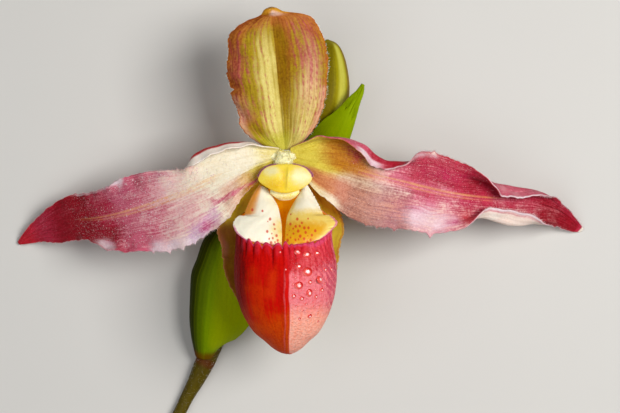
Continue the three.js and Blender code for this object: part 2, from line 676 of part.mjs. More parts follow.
const bloom = new THREE.Group();
bloom.position.set(...BLOOM_AT);
bloom.add(
  organ('flower_stem', roundSolid(STEM, 36, 12, { restsOnTable: true }), stemFinish),
  organ('lower_bract', bladeSolid(LOWER_BRACT, 18, 6), greenFinish),
  organ('upper_bract', bladeSolid(UPPER_BRACT, 14, 5), greenFinish),
  organ('ovary', roundSolid(OVARY, 22, 15, { ribs: RIB_DEPTH }), ovaryFinish),
  organ('dorsal_sepal', bladeSolid(DORSAL_SEPAL, 26, 6), sepalFinish),
  organ('petal_left', bladeSolid(PETAL_LEFT, 36, 7), petalFinish),
  organ('petal_right', bladeSolid(PETAL_RIGHT, 40, 7), petalFinish),
  organ('synsepal', bladeSolid(SYNSEPAL, 18, 6), synsepalFinish),
  organ('lip', lipSolid(), lipFinish),
  organ('column', roundSolid(COLUMN, 12, 16, { flat: COLUMN.flat }), columnFinish),
  organ('staminode', staminodeSolid(36, 4), staminodeFinish),
  organ('anther_left', antherSolid(-1), antherFinish),
  organ('anther_right', antherSolid(1), antherFinish),
  organ('bud', roundSolid(BUD, 16, 20, { ribs: RIB_DEPTH / 2 }), budFinish),
  organ('bud_ovary', roundSolid(BUD_OVARY, 6, 12), ovaryFinish),
);

const plant = new THREE.Group();
plant.add(bloom);

export default plant;
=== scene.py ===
"""Looks of a cut slipper orchid: an open bloom, a bud, two bracts and a stem on a pale table.

Lengths are millimetres in the bloom's own frame, whose origin lies under the column: +X to the
bloom's right as seen from in front, +Y up the bloom and +Z out of it, off the table. A mesh is put
into the part's frame, in metres, when it is made. Angles are radians unless a name says degrees.

On a blade, such as a petal, u runs from 0 at its base to 1 at its tip, and t from -1 at the margin
of its lower half through 0 on its midrib to 1 at the margin of its upper half.
"""

import logging
import math
from abc import ABC, abstractmethod
from collections.abc import Callable, Mapping
from dataclasses import dataclass, field
from enum import Enum
from functools import cache

import bpy
import numpy as np
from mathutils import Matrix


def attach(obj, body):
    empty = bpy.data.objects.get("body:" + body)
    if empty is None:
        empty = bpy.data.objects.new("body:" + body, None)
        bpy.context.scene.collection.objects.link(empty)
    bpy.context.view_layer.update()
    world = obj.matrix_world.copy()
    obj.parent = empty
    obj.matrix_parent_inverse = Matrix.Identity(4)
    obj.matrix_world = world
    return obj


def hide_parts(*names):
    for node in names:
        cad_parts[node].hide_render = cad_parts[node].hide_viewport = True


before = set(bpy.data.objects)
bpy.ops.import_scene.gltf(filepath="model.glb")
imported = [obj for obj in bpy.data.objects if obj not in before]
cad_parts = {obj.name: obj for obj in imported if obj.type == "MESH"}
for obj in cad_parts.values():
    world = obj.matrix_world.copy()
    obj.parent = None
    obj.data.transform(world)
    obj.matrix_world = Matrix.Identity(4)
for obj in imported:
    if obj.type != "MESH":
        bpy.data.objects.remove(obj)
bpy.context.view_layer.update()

Array = np.ndarray
Knots = tuple[tuple[float, float], ...]
Points = tuple[tuple[float, ...], ...]
Faces = list[list[int]]
Marks = dict[str, Array]
Settings = Mapping[int | str, object]

# Where the bloom's own origin lies in the part's frame, in millimetres, and a millimetre in metres.
BLOOM_AT = np.array([-3.8, 19.9, 0.0])
METRES = 0.001
log = logging.getLogger("orchid")


class Slot(Enum):
    """The record's material slots."""

    PETAL = "petal"
    DORSAL = "dorsal_sepal"
    SYNSEPAL = "synsepal"
    LIP = "lip"
    COLUMN = "column"
    STAMINODE = "staminode"
    ANTHER = "anther"
    BRACT = "bract"
    BUD = "bud"
    OVARY = "ovary"
    STEM = "stem"


# ---------------- curves and fields


def smooth(x: Array | float) -> Array:
    """Smooth step from 0 to 1: 3x^2 - 2x^3 of x held between 0 and 1."""
    s = np.clip(x, 0.0, 1.0)
    return s * s * (3.0 - 2.0 * s)


def rise(x: Array, start: Array | float, length: Array | float) -> Array:
    """Smooth step from 0 at start to 1 a length further on."""
    return smooth((x - start) / length)


def fall(x: Array, start: Array | float, length: Array | float) -> Array:
    """Smooth step from 1 at start to 0 a length further on."""
    return 1 - rise(x, start, length)


def band(x: Array, low: float, high: float, soft: float) -> Array:
    """Is 1 between low and high and falls smoothly to 0 over soft outside them."""
    return rise(x, low - soft, soft) * fall(x, high, soft)


def bell(x: Array, at: Array | float, width: float) -> Array:
    """Bell curve: exp of minus the squared distance from at, in widths."""
    return np.exp(-(((x - at) / width) ** 2))


def spots(x: Array, y: Array, *patches: tuple[float, ...]) -> Array:
    """Sum of soft oval patches, each a weight, a place in x and y, and a breadth in x and y."""
    return sum(w * bell(x, a, wide) * bell(y, b, long) for w, a, b, wide, long in patches)


def cubic(s: Array, one: Array, leave: Array, two: Array, arrive: Array) -> Array:
    """Cubic from one to two as s goes from 0 to 1, leaving and arriving at the given slopes."""
    left = (1 - s) ** 2
    return (1 + 2 * s) * left * one + s * left * leave + s * s * ((3 - 2 * s) * two + (s - 1) * arrive)


def profile(knots: Knots, at: Array) -> Array:
    """Smooth value through knots that never swings past them.

    It is the cubic through each pair of knots whose slope at a knot is the weighted harmonic mean
    of the two secants there, or 0 where they differ in sign.

    Args:
        knots: Places, in rising order, each with its value.
        at: The places where the value is wanted.

    Returns:
        The values, in the shape of at.
    """
    x, y = np.array(knots, float).T
    h = np.diff(x)
    secant = np.diff(y) / h
    one, two = secant[:-1], secant[1:]
    same = one * two > 0
    first, last = 2 * h[1:] + h[:-1], h[1:] + 2 * h[:-1]
    mean = (first + last) / (first / np.where(same, one, 1) + last / np.where(same, two, 1))
    slope = np.concatenate([secant[:1], np.where(same, mean, 0), secant[-1:]])
    i = np.clip(np.searchsorted(x, at) - 1, 0, len(x) - 2)
    return cubic((at - x[i]) / h[i], y[i], h[i] * slope[i], y[i + 1], h[i] * slope[i + 1])


def path(points: Points | Array, at: Array) -> Array:
    """Curve through equally spaced points, each crossed in the direction of its two neighbours.

    Args:
        points: The points, each of one number or more.
        at: Places along the curve from 0 to 1.

    Returns:
        One row of numbers for each place.
    """
    p = np.array(points, float)
    p = np.vstack([2 * p[0] - p[1], p, 2 * p[-1] - p[-2]])
    place = np.clip(at, 0, 1) * (len(p) - 3)
    i = np.minimum(place.astype(int), len(p) - 4)
    before, one, two, after = (p[i + k] for k in range(4))
    return cubic((place - i)[..., None], one, (two - before) / 2, two, (after - one) / 2)


def unit(vectors: Array) -> Array:
    """Each vector divided by its length."""
    return vectors / np.maximum(np.linalg.norm(vectors, axis=-1, keepdims=True), 1e-9)


def softened(values: Array, reach: float) -> Array:
    """A row of values averaged with their neighbours by bell-shaped weights, its ends kept.

    Args:
        values: The values.
        reach: Spread of the weights, in places.

    Returns:
        The averaged values.
    """
    far = int(3 * reach) + 1
    weights = np.exp(-0.5 * (np.arange(-far, far + 1) / reach) ** 2)
    padded = np.pad(values, far, mode="reflect", reflect_type="odd")
    return np.convolve(padded, weights / weights.sum(), mode="valid")


def wander(at: Array, seed: int, slow: float, fast: float, parts: int = 10) -> Array:
    """Seeded wavering value of about -1 to 1: a sum of sines with drawn rates and phases.

    Args:
        at: Where the value is wanted.
        seed: Seed of the draw.
        slow: Lowest number of waves over a unit of at.
        fast: Highest number of waves over a unit of at.
        parts: How many sines are added.

    Returns:
        The values, in the shape of at.
    """
    draw = np.random.default_rng(seed)
    rates = draw.uniform(slow, fast, parts)
    phases = draw.uniform(0, 2 * math.pi, parts)
    total = sum(np.sin(2 * math.pi * at * r + p) for r, p in zip(rates, phases))
    return total / math.sqrt(2 * parts)


def grid_normals(grid: Array, wraps: bool = False) -> Array:
    """Unit normals of a grid of points: its step along crossed with its step across.

    Args:
        grid: Points by row and column.
        wraps: True where the last column joins the first.

    Returns:
        A normal for each point.
    """
    if wraps:
        across = np.roll(grid, -1, axis=1) - np.roll(grid, 1, axis=1)
    else:
        across = np.gradient(grid, axis=1)
    return unit(np.cross(np.gradient(grid, axis=0), across))


# ---------------- meshes


def placed(name: str, data: bpy.types.ID) -> bpy.types.Object:
    """A new object in the scene, at the origin.

    Args:
        name: Name of the object.
        data: The mesh, light or camera that it holds.

    Returns:
        The object.
    """
    made = bpy.data.objects.new(name, data)
    bpy.context.scene.collection.objects.link(made)
    return made


def later() -> Array:
    """A field of a size class that is filled when its piece is built."""
    return field(default=None, repr=False)


@dataclass
class Skin:
    """A closed mesh being put together, with a surface map and marks kept at each point.

    Attributes:
        points: Its points.
        faces: The point numbers of each face, turned to the left as seen from outside.
        chart: Place of each point on the surface map.
        marks: A number at each point, by the mark's name.
    """

    points: Array
    faces: Faces
    chart: Array
    marks: Marks = field(default_factory=dict)

    def build(self, name: str) -> bpy.types.Object:
        """Makes the Blender object, in metres, with its map and its marks.

        Args:
            name: Name of the object and of its mesh.

        Returns:
            The object, at the origin.
        """
        mesh = bpy.data.meshes.new(name)
        mesh.from_pydata(((self.points + BLOOM_AT) * METRES).tolist(), [], self.faces)
        mesh.polygons.foreach_set("use_smooth", np.ones(len(mesh.polygons), bool))
        corner = np.empty(len(mesh.loops), np.int32)
        mesh.loops.foreach_get("vertex_index", corner)
        layer = mesh.uv_layers.new(name="chart")
        layer.data.foreach_set("uv", self.chart[corner].astype(np.float32).ravel())
        for mark, values in self.marks.items():
            kept = mesh.attributes.new(mark, "FLOAT", "POINT")
            kept.data.foreach_set("value", values.astype(np.float32))
        mesh.update()
        return placed(name, mesh)

    def dress(self, name: str, finish: "Finish", slot: Slot, *nodes: str) -> None:
        """Makes the piece, gives it its material and its body, and hides the solids that it stands for.

        Args:
            name: Name of the piece.
            finish: Its finish.
            slot: The record's slot for that finish; not used.
            nodes: Names of the solids that it replaces.
        """
        piece = self.build(name)
        piece.data.materials.append(finish.material())
        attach(piece, "root")
        if nodes:
            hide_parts(*nodes)
        log.info("%s: %d points, %d faces", name, len(self.points), len(self.faces))


def ring_quads(rows: int, cols: int, wraps: bool) -> Array:
    """Four-sided faces of a grid of points, turned as along crossed with across.

    Args:
        rows: Rows of points.
        cols: Points in a row.
        wraps: True where the last column joins the first.

    Returns:
        Four point numbers for each face.
    """
    i, j = np.meshgrid(np.arange(rows - 1), np.arange(cols if wraps else cols - 1), indexing="ij")
    a, b = i * cols + j, i * cols + (j + 1) % cols
    return np.stack([a, a + cols, b + cols, b], -1).reshape(-1, 4)


def fan(tip: int, starts: Array, ends: Array) -> Faces:
    """Triangles from one point to each side of a ring, which runs from its start to its end."""
    return np.stack([np.full(len(starts), tip), starts, ends], -1).tolist()


def repeated(faces: Faces, points: int, count: int) -> Faces:
    """The faces of one small shape again for each of count shapes with that many points."""
    return [[a + points * n for a in face] for n in range(count) for face in faces]


def plate(front: Array, back: Array, chart: Array, turned: bool) -> Skin:
    """A closed plate between two grids of the same shape.

    Args:
        front: Points of one face by row and column.
        back: Points of the other face.
        chart: The surface map at each grid point.
        turned: True where along crossed with across points into the plate on the front face.

    Returns:
        The plate, the points of its front face first.
    """
    rows, cols = front.shape[:2]
    far = rows * cols
    face = ring_quads(rows, cols, False)
    bottom, top = np.arange(cols), (rows - 1) * cols + np.arange(cols - 2, -1, -1)
    right, left = np.arange(1, rows) * cols + cols - 1, np.arange(rows - 2, 0, -1) * cols
    rim = np.concatenate([bottom, right, top, left])
    ahead = np.roll(rim, -1)
    side = np.stack([rim, ahead, ahead + far, rim + far], -1)
    quads = np.concatenate([face, face[:, ::-1] + far, side])
    if turned:
        quads = quads[:, ::-1]
    points = np.concatenate([front.reshape(-1, 3), back.reshape(-1, 3)])
    return Skin(points, quads.tolist(), np.tile(chart.reshape(-1, 2), (2, 1)))


def capped_rings(rings: Array, first: Array, last: Array, turned: bool = False) -> Skin:
    """A closed round skin through rings of points, with a point at each end.

    Args:
        rings: Points by ring and place round it.
        first: The end point before the first ring.
        last: The end point after the last ring.
        turned: True where along crossed with around points into the skin.

    Returns:
        The skin, whose surface map goes along, then around.
    """
    rows, sides = rings.shape[:2]
    count = rows * sides
    j = np.arange(sides)
    k = (j + 1) % sides
    faces = ring_quads(rows, sides, True).tolist()
    faces += fan(count, j, k) + fan(count + 1, count - sides + k, count - sides + j)
    if turned:
        faces = [face[::-1] for face in faces]
    points = np.concatenate([rings.reshape(-1, 3), [first, last]])
    v, u = np.meshgrid(np.arange(sides) / sides, np.linspace(0, 1, rows))
    chart = np.concatenate([np.stack([u, v], -1).reshape(-1, 2), [[0, 0.5], [1, 0.5]]])
    return Skin(points, faces, chart)


def ball(rows: int, sides: int) -> tuple[Array, Array]:
    """Rings of a unit ball from its top, at y = 1, and the angle of each point round y.

    Args:
        rows: Rings of points.
        sides: Points round a ring.

    Returns:
        The points by ring and place, and their angles.
    """
    down, turn = np.pi * (np.arange(rows) + 0.5) / rows, 2 * np.pi * np.arange(sides) / sides
    down, turn = np.meshgrid(down, turn, indexing="ij")
    points = [np.sin(down) * np.cos(turn), np.cos(down), np.sin(down) * np.sin(turn)]
    return np.stack(points, -1), turn


def cones(roots: Array, ways: Array, lengths: Array, thick: float, droop: float) -> Skin:
    """Fine hairs: three-sided cones that stand on their roots and droop a little.

    Args:
        roots: Where each hair stands.
        ways: Unit direction of each hair.
        lengths: Length of each hair.
        thick: Radius of a hair at its root.
        droop: How far a tip sinks towards the table, as a share of the length.

    Returns:
        One skin that holds all hairs, with a mark "tip" of 0 at the roots and 1 at the tips.
    """
    side = unit(np.cross(ways, [0.31, 0.52, 0.79]))
    other = np.cross(ways, side)
    turn = 2 * math.pi * np.arange(3)[:, None] / 3
    ring = (side[:, None] * np.cos(turn) + other[:, None] * np.sin(turn)) * thick
    sink = np.array([0.0, 0.0, -droop])
    middle = roots + (ways + 0.3 * sink) * lengths[:, None] * 0.55
    tip = roots + (ways + sink) * lengths[:, None]
    low = (roots - ways * thick)[:, None] + ring
    points = np.concatenate([low, middle[:, None] + ring * 0.6, tip[:, None]], 1).reshape(-1, 3)
    one = [[0, 2, 1], [0, 1, 4, 3], [1, 2, 5, 4], [2, 0, 3, 5], [3, 4, 6], [4, 5, 6], [5, 3, 6]]
    marks = {"tip": np.tile([0, 0, 0, 0.5, 0.5, 0.5, 1.0], len(roots))}
    return Skin(points, repeated(one, 7, len(roots)), np.zeros((len(points), 2)), marks)


def domes(centres: Array, ups: Array, sizes: Array, tall: float, sides: int, rings: int) -> Skin:
    """Drops of water: caps of a flattened ball that sit on a surface, closed underneath.

    At an angle a above the foot a ring's breadth is cos(a)^0.8 of the foot's, and its height is
    the drop's times sin(a), with the foot sunk a little into the surface.

    Args:
        centres: Where each drop sits.
        ups: Unit normal of the surface there.
        sizes: Radii of each drop's foot across and up the surface.
        tall: Height of a drop against its smaller radius.
        sides: Places round a drop.
        rings: Rings of points from the foot to the top.

    Returns:
        One skin that holds all drops, with a mark "aside" across each for its painted shading and "glint" at
        its top for its painted highlight.
    """
    count, sunk = len(centres), 0.12
    side = unit(np.cross([0.0, 1.0, 0.02], ups))
    turn = 2 * math.pi * np.arange(sides)[:, None] / sides
    climb = 0.5 * math.pi * np.arange(rings) / rings
    wide = (sizes[:, :1] * side)[:, None, None]
    long = (sizes[:, 1:] * np.cross(ups, side))[:, None, None]
    height = tall * sizes.min(1)[:, None] * ups
    shell = (wide * np.cos(turn) + long * np.sin(turn)) * np.cos(climb)[:, None, None] ** 0.8
    shell = shell + height[:, None, None] * (np.sin(climb)[:, None, None] * (1 + sunk) - sunk)
    shell = (centres[:, None, None] + shell).reshape(count, -1, 3)
    base, top = centres - height * sunk * 1.5, centres + height
    points = np.concatenate([shell, base[:, None], top[:, None]], 1)
    j = np.arange(sides)
    k = (j + 1) % sides
    foot, last = rings * sides, (rings - 1) * sides
    one = ring_quads(rings, sides, True)[:, ::-1].tolist()
    one += fan(foot, k, j) + fan(foot + 1, last + j, last + k)
    away = (points - centres[:, None]) @ unit(np.array([-0.7, -0.7, 0.0]))
    aside = np.clip(0.5 + 0.5 * away / sizes.max(1)[:, None], 0, 1)
    glint = np.append(np.repeat(rise(climb, 1.2, 0.2), sides), [0, 1])
    marks = {"aside": aside.ravel(), "glint": np.tile(glint, count)}
    points = points.reshape(-1, 3)
    return Skin(points, repeated(one, foot + 2, count), np.zeros((len(points), 2)), marks)


# ---------------- shader


def linear(code: str) -> tuple[float, ...]:
    """Scene colour of a six-digit code such as "c8627c"."""
    parts = [int(code[i : i + 2], 16) / 255 for i in (0, 2, 4)]
    return *(c / 12.92 if c <= 0.04045 else ((c + 0.055) / 1.055) ** 2.4 for c in parts), 1.0


def operator(operation: str, reflected: bool = False) -> Callable[["Flow", "Flow | float"], "Flow"]:
    """An arithmetic operator of Flow.

    Args:
        operation: What its Math node does.
        reflected: True where the Flow stands on the right.

    Returns:
        The method.
    """

    def method(flow: "Flow", other: "Flow | float") -> "Flow":
        """A Math node of that operation on the two."""
        terms = (other, flow) if reflected else (flow, other)
        return flow.desk.node("ShaderNodeMath", {"operation": operation}, dict(enumerate(terms)))

    return method


class Flow:
    """One output of a shader node, with arithmetic that adds the Math nodes it needs."""

    def __init__(self, desk: "Desk", output: bpy.types.NodeSocket) -> None:
        """Keeps the desk that owns the node, and the output."""
        self.desk, self.output = desk, output

    __add__, __radd__ = operator("ADD"), operator("ADD", True)
    __sub__, __rsub__ = operator("SUBTRACT"), operator("SUBTRACT", True)
    __mul__, __rmul__ = operator("MULTIPLY"), operator("MULTIPLY", True)

    def between(self, low: float, high: float) -> "Flow":
        """Smooth step from 0 where this is low to 1 where it is high."""
        sockets = {0: self, 1: low, 2: high, 3: 0.0, 4: 1.0}
        return self.desk.node("ShaderNodeMapRange", {"interpolation_type": "SMOOTHSTEP"}, sockets)

    def held(self) -> "Flow":
        """This, held between 0 and 1."""
        return self.desk.node("ShaderNodeClamp", {}, {0: self, 1: 0.0, 2: 1.0})


class Desk:
    """The nodes of one material, laid out as they are asked for."""

    def __init__(self, name: str) -> None:
        """Makes the material and leaves only its output.

        Args:
            name: Name of the material.
        """
        self.material = bpy.data.materials.new(name)
        self.material.use_nodes = True
        self.tree = self.material.node_tree
        self.tree.nodes.clear()
        self.end = self.tree.nodes.new("ShaderNodeOutputMaterial")

    def node(self, kind: str, settings: Settings, values: Settings, output: int | str = 0) -> Flow:
        """Adds a node, sets it up, then fills its sockets.

        Args:
            kind: The node's type.
            settings: Its properties.
            values: A link or a plain value for each socket named or numbered.
            output: The output that is handed back.

        Returns:
            The wanted output.
        """
        made = self.tree.nodes.new(kind)
        for key, value in settings.items():
            setattr(made, key, value)
        for key, value in values.items():
            if isinstance(value, Flow):
                self.tree.links.new(value.output, made.inputs[key])
            else:
                made.inputs[key].default_value = value
        return Flow(self, made.outputs[output])

    def mark(self, name: str) -> Flow:
        """The value kept under that name at the mesh's points."""
        return self.node("ShaderNodeAttribute", {"attribute_name": name}, {}, "Fac")

    def lengthwise(self, along: float, across: float) -> Flow:
        """Streaky noise on the surface map.

        Args:
            along: Cells over the piece's length.
            across: Cells over its breadth.

        Returns:
            The noise.
        """
        where = self.node("ShaderNodeUVMap", {"uv_map": "chart"}, {})
        u = self.node("ShaderNodeSeparateXYZ", {}, {0: where})
        v = Flow(self, u.output.node.outputs[1])
        place = self.node("ShaderNodeCombineXYZ", {}, {0: u * along, 1: v * across, 2: 0.0})
        return self.noise(place, 1.0, 3.0)

    def here(self) -> Flow:
        """The point's own coordinates, in metres."""
        return self.node("ShaderNodeTexCoord", {}, {}, "Object")

    def noise(self, where: Flow, scale: float, detail: float = 2.0) -> Flow:
        """Cloudy noise of about 0.2 to 0.8."""
        values = {"Vector": where, "Scale": scale, "Detail": detail, "Roughness": 0.55}
        return self.node("ShaderNodeTexNoise", {}, values)

    def cells(self, where: Flow, scale: float) -> Flow:
        """Distance to the nearest of scattered points, in cells."""
        return self.node("ShaderNodeTexVoronoi", {}, {"Vector": where, "Scale": scale})

    def mixed(self, share: "Flow | float", one: "Flow | str", two: "Flow | str", blend: str = "MIX") -> Flow:
        """One colour turned towards another by a share.

        Args:
            share: 0 for the first colour alone, 1 for the second.
            one: The first colour, a link or a code.
            two: The second colour.
            blend: How they combine.

        Returns:
            The colour.
        """
        first, second = (linear(c) if isinstance(c, str) else c for c in (one, two))
        settings = {"data_type": "RGBA", "blend_type": blend, "clamp_factor": True}
        return self.node("ShaderNodeMix", settings, {0: share, 6: first, 7: second}, 2)

    def bump(self, height: Flow, distance: float) -> Flow:
        """A normal tilted by a height of the given size in metres."""
        return self.node("ShaderNodeBump", {}, {"Height": height, "Distance": distance, "Strength": 1.0})

    def surface(self, values: Settings) -> bpy.types.Material:
        """Closes the material with a surface shader.

        Args:
            values: A link or a plain value for each of the shader's sockets.

        Returns:
            The material.
        """
        shader = self.node("ShaderNodeBsdfPrincipled", {}, values)
        self.tree.links.new(shader.output, self.end.inputs["Surface"])
        return self.material


@dataclass(frozen=True)
class Layer:
    """One colour laid over the others where its mark is high: a pigment, or painted light or shade.

    Attributes:
        mark: Name of the mark at the mesh's points.
        colour: Colour code.
        mottle: How far noise breaks up the pigment's edge.
        most: Share of the pigment where the mark is full.
    """

    mark: str
    colour: str
    mottle: float
    most: float = 1.0


@dataclass(frozen=True)
class TissueFinish:
    """Living plant tissue: pigments and some painted light and shade, in layers over a ground colour, with a
    finely bumped skin.

    Attributes:
        name: Name of the material.
        ground: Ground colour code.
        layers: Pigments, each laid over the ones before.
        grain: Length and breadth of the surface in cells of the lengthwise noise.
        roughness: Middle roughness of the skin.
        velvet: Strength of the soft sheen.
        glow: Share of light that goes through the tissue.
        gloss: Weight of the clear waxy coat.
        relief: Depth of the fine skin bump in metres.
        streaks: Share by which lengthwise streaks darken the pigment.
        frost_glints: Share of the fine pale specks where the mark "frost" is full.
        shine: Strength of the plain reflection.
        powder: Share by which fine noise pales the pigment.
        cloud: Share by which broad noise pales it.
        pebble: Height of small round bumps where the mark "frost" is full, against the relief.
        painted_glow: Mark, colour and strength of a painted glow: emission that stands in for light coming
            through the thin wall.
    """

    name: str
    ground: str
    layers: tuple[Layer, ...] = ()
    grain: tuple[float, float] = (12.0, 60.0)
    roughness: float = 0.5
    velvet: float = 0.0
    glow: float = 0.12
    gloss: float = 0.0
    relief: float = 0.00005
    streaks: float = 0.12
    # The fine pale specks are painted glints on the frosted, dewy skin.
    frost_glints: float = 0.0
    shine: float = 0.25
    powder: float = 0.0
    cloud: float = 0.0
    pebble: float = 0.0
    painted_glow: tuple[str, str, float] = ("", "000000", 0.0)

    @cache
    def material(self) -> bpy.types.Material:
        """Mixes the pigments and closes the material.

        A pigment's share is its mark, shifted up and down by the noise where it has a mottle. The
        streaks multiply the colour with itself, and the powder screens it with itself. Scales of
        noise are cells to the metre.

        Returns:
            The material.
        """
        desk = Desk(self.name)
        here = desk.here()
        streak, fine, broad = desk.lengthwise(*self.grain), desk.noise(here, 1700.0), desk.noise(here, 260.0)
        breaker = streak * 0.68 + fine * 0.32 + (broad - 0.5) * 0.6
        colour: Flow | str = self.ground
        for layer in self.layers:
            share = desk.mark(layer.mark)
            if layer.mottle:
                edge = share + (breaker - 0.5) * layer.mottle * 2.2
                share = edge.between(-0.05, 1.0) * share.between(0.0, 0.5)
            colour = desk.mixed(share * layer.most, colour, layer.colour)
        dark = (streak.between(0.35, 0.7) * self.streaks) + (fine.between(0.4, 0.7) * self.streaks)
        colour = desk.mixed(dark, colour, desk.mixed(1.0, colour, colour, "MULTIPLY"))
        if self.powder:
            dust = desk.noise(here, 2900.0).between(0.45, 0.7) * self.powder
            colour = desk.mixed(dust + broad.between(0.48, 0.72) * self.cloud, colour, colour, "SCREEN")
        height = fine * 0.6 + streak * 0.7
        # Painted glints: fine pale specks where the mark is full, with small bumps under them.
        if self.frost_glints:
            wet = desk.mark("frost_glints")
            dense = 1 - desk.cells(here, 3100.0).between(0.1, 0.42)
            large = 1 - desk.cells(here, 1500.0).between(0.1, 0.24)
            large = large * desk.noise(here, 700.0, 1.0).between(0.5, 0.62)
            specks = (dense * 0.4 + large).held() * wet
            colour = desk.mixed(specks * self.frost_glints, colour, "fdf1ee")
            height = height + specks * 1.2
            if self.pebble:
                pebbles = desk.noise(here, 1500.0, 1.0).between(0.35, 0.7)
                height = height + pebbles * wet * self.pebble
        values = {
            "Base Color": colour, "Roughness": self.roughness + (fine - 0.5) * 0.25,
            "Specular IOR Level": self.shine, "Normal": desk.bump(height, self.relief),
            "Subsurface Weight": self.glow, "Subsurface Radius": (1.0, 0.75, 0.6),
            "Subsurface Scale": 0.0006, "Sheen Weight": self.velvet, "Sheen Roughness": 0.4,
            "Coat Weight": self.gloss, "Coat Roughness": 0.22,
        }
        # Painted glow: emission on the pouch's inside, though it is no lamp, standing in for light through
        # its thin wall.
        mark, hue, strength = self.painted_glow
        if strength:
            values["Emission Color"] = desk.mixed(desk.mark(mark), "000000", hue)
            values["Emission Strength"] = strength
        return desk.surface(values)


@dataclass(frozen=True)
class WaterFinish:
    """Water: a drop shows the pigment below it, with painted shade on the side towards the light, painted
    light on the far side and a painted glint at its top.

    Attributes:
        name: Name of the material.
        shaded: Colour code of the painted shade on the side towards the light.
        middle: Colour code at the middle.
        lit: Colour code of the painted light on the far side.
        coat: Weight of the clear reflection.
        roughness: Roughness of its surface.
        spark: Share of white in the painted glint at a drop's top.
    """

    name: str
    shaded: str
    middle: str
    lit: str
    coat: float
    roughness: float
    spark: float

    @cache
    def material(self) -> bpy.types.Material:
        """Mixes the three colours, painted shade, middle and painted light, by the mark "aside", which is 0
        to 1 across each drop, then adds the painted glint.

        Returns:
            The material.
        """
        desk = Desk(self.name)
        aside = desk.mark("aside")
        colour = desk.mixed(aside.between(0.1, 0.5), self.shaded, self.middle)
        colour = desk.mixed(aside.between(0.72, 0.95), colour, self.lit)
        colour = desk.mixed(desk.mark("glint") * self.spark, colour, "ffffff")
        values = {"Base Color": colour, "Roughness": self.roughness, "IOR": 1.33}
        return desk.surface({**values, "Coat Weight": self.coat, "Coat Roughness": self.roughness})


@dataclass(frozen=True)
class HairFinish:
    """Short plant hairs that pale towards their tips.

    Attributes:
        name: Name of the material.
        root: Colour code at a hair's root.
        tip: Colour code at its tip.
    """

    name: str
    root: str
    tip: str

    @cache
    def material(self) -> bpy.types.Material:
        """Mixes the root colour into the tip colour along each hair.

        Returns:
            The material.
        """
        desk = Desk(self.name)
        values = {"Roughness": 0.55, "Subsurface Weight": 0.1, "Subsurface Scale": 0.0003}
        return desk.surface({"Base Color": desk.mixed(desk.mark("tip"), self.root, self.tip), **values})


# ---------------- finishes


Finish = TissueFinish | WaterFinish | HairFinish

PETAL_FINISH = TissueFinish(
    "petal_skin", "ece3cc",
    (
        Layer("yellow", "dac84c", 0.25), Layer("salmon", "c46c4e", 0.25, 0.85),
        # The amber-brown layer is partly painted shade, by the staminode and under the right petal's rolled
        # margin.
        Layer("umber_and_shade", "b46e00", 0.2, 0.95), Layer("blush", "e8b0b4", 0.5, 0.9),
        Layer("rose", "ca5a76", 1.0, 0.95), Layer("crimson", "b0203c", 0.9, 0.95),
        Layer("maroon", "8e0014", 0.6, 0.9), Layer("lilac", "e8d8de", 1.0, 0.85),
        Layer("pearl", "f4e8da", 0.3, 0.95), Layer("violet", "cc94c8", 1.0, 0.65),
        Layer("magenta", "c0266c", 1.0, 0.75), Layer("dusk", "8c645c", 0.8, 0.6),
        Layer("gold", "e8b068", 0.6, 0.65), Layer("scarlet", "c4141e", 0.2),
    ),
    grain=(10.0, 64.0), velvet=0.02, glow=0.1, relief=0.00014, streaks=0.3, frost_glints=0.55, shine=0.16,
    powder=0.3, cloud=0.25,
)
# groove and brown are partly painted shade, and the last layer a painted highlight on the knob at the tip.
DORSAL_FINISH = TissueFinish(
    "dorsal_sepal_skin", "a88c14",
    (
        Layer("cream", "e2d480", 0.6, 0.9), Layer("fresh", "c0bc28", 0.3, 0.65),
        Layer("groove", "966804", 0.4, 0.85), Layer("rust", "b86630", 0.6, 0.8),
        Layer("dust", "dca88c", 0.6, 0.75), Layer("rose", "b8485c", 1.0, 0.68),
        Layer("vein", "9c5c10", 0.8, 0.35), Layer("brown", "84380c", 0.8, 0.75),
        Layer("rim", "c06c1c", 0.2, 0.8), Layer("tip", "cf9424", 0.2, 0.9),
        Layer("knob", "f4cfc0", 0.1, 0.95),
    ),
    grain=(7.0, 44.0), glow=0.1, relief=0.00012, streaks=0.3, shine=0.08, powder=0.2, cloud=0.15,
)
SYNSEPAL_FINISH = TissueFinish(
    "synsepal_skin", "dcca3c",
    (
        Layer("brown", "944800", 0.2, 0.88), Layer("bright", "ffe63c", 0.2),
        Layer("vein", "a4701c", 0.7, 0.3), Layer("rose", "d78a70", 0.3, 0.8),
        Layer("rust", "b97434", 0.25, 0.8),
    ),
    glow=0.15,
)
# deep and dark are painted shade on a bract's upper half, and lime is partly painted light on its lower half.
BRACT_FINISH = TissueFinish(
    "bract_skin", "7f9c00",
    (
        Layer("deep", "4c5e00", 0.1, 0.8), Layer("dark", "1e1e00", 0.1, 0.85),
        Layer("lime", "a8b800", 0.1, 0.9), Layer("vein", "a4b010", 0.3, 0.25),
        Layer("brown", "743a00", 0.2, 0.85),
    ),
    grain=(6.0, 90.0), roughness=0.55, glow=0.04, relief=0.00003, streaks=0.1, shine=0.03,
)
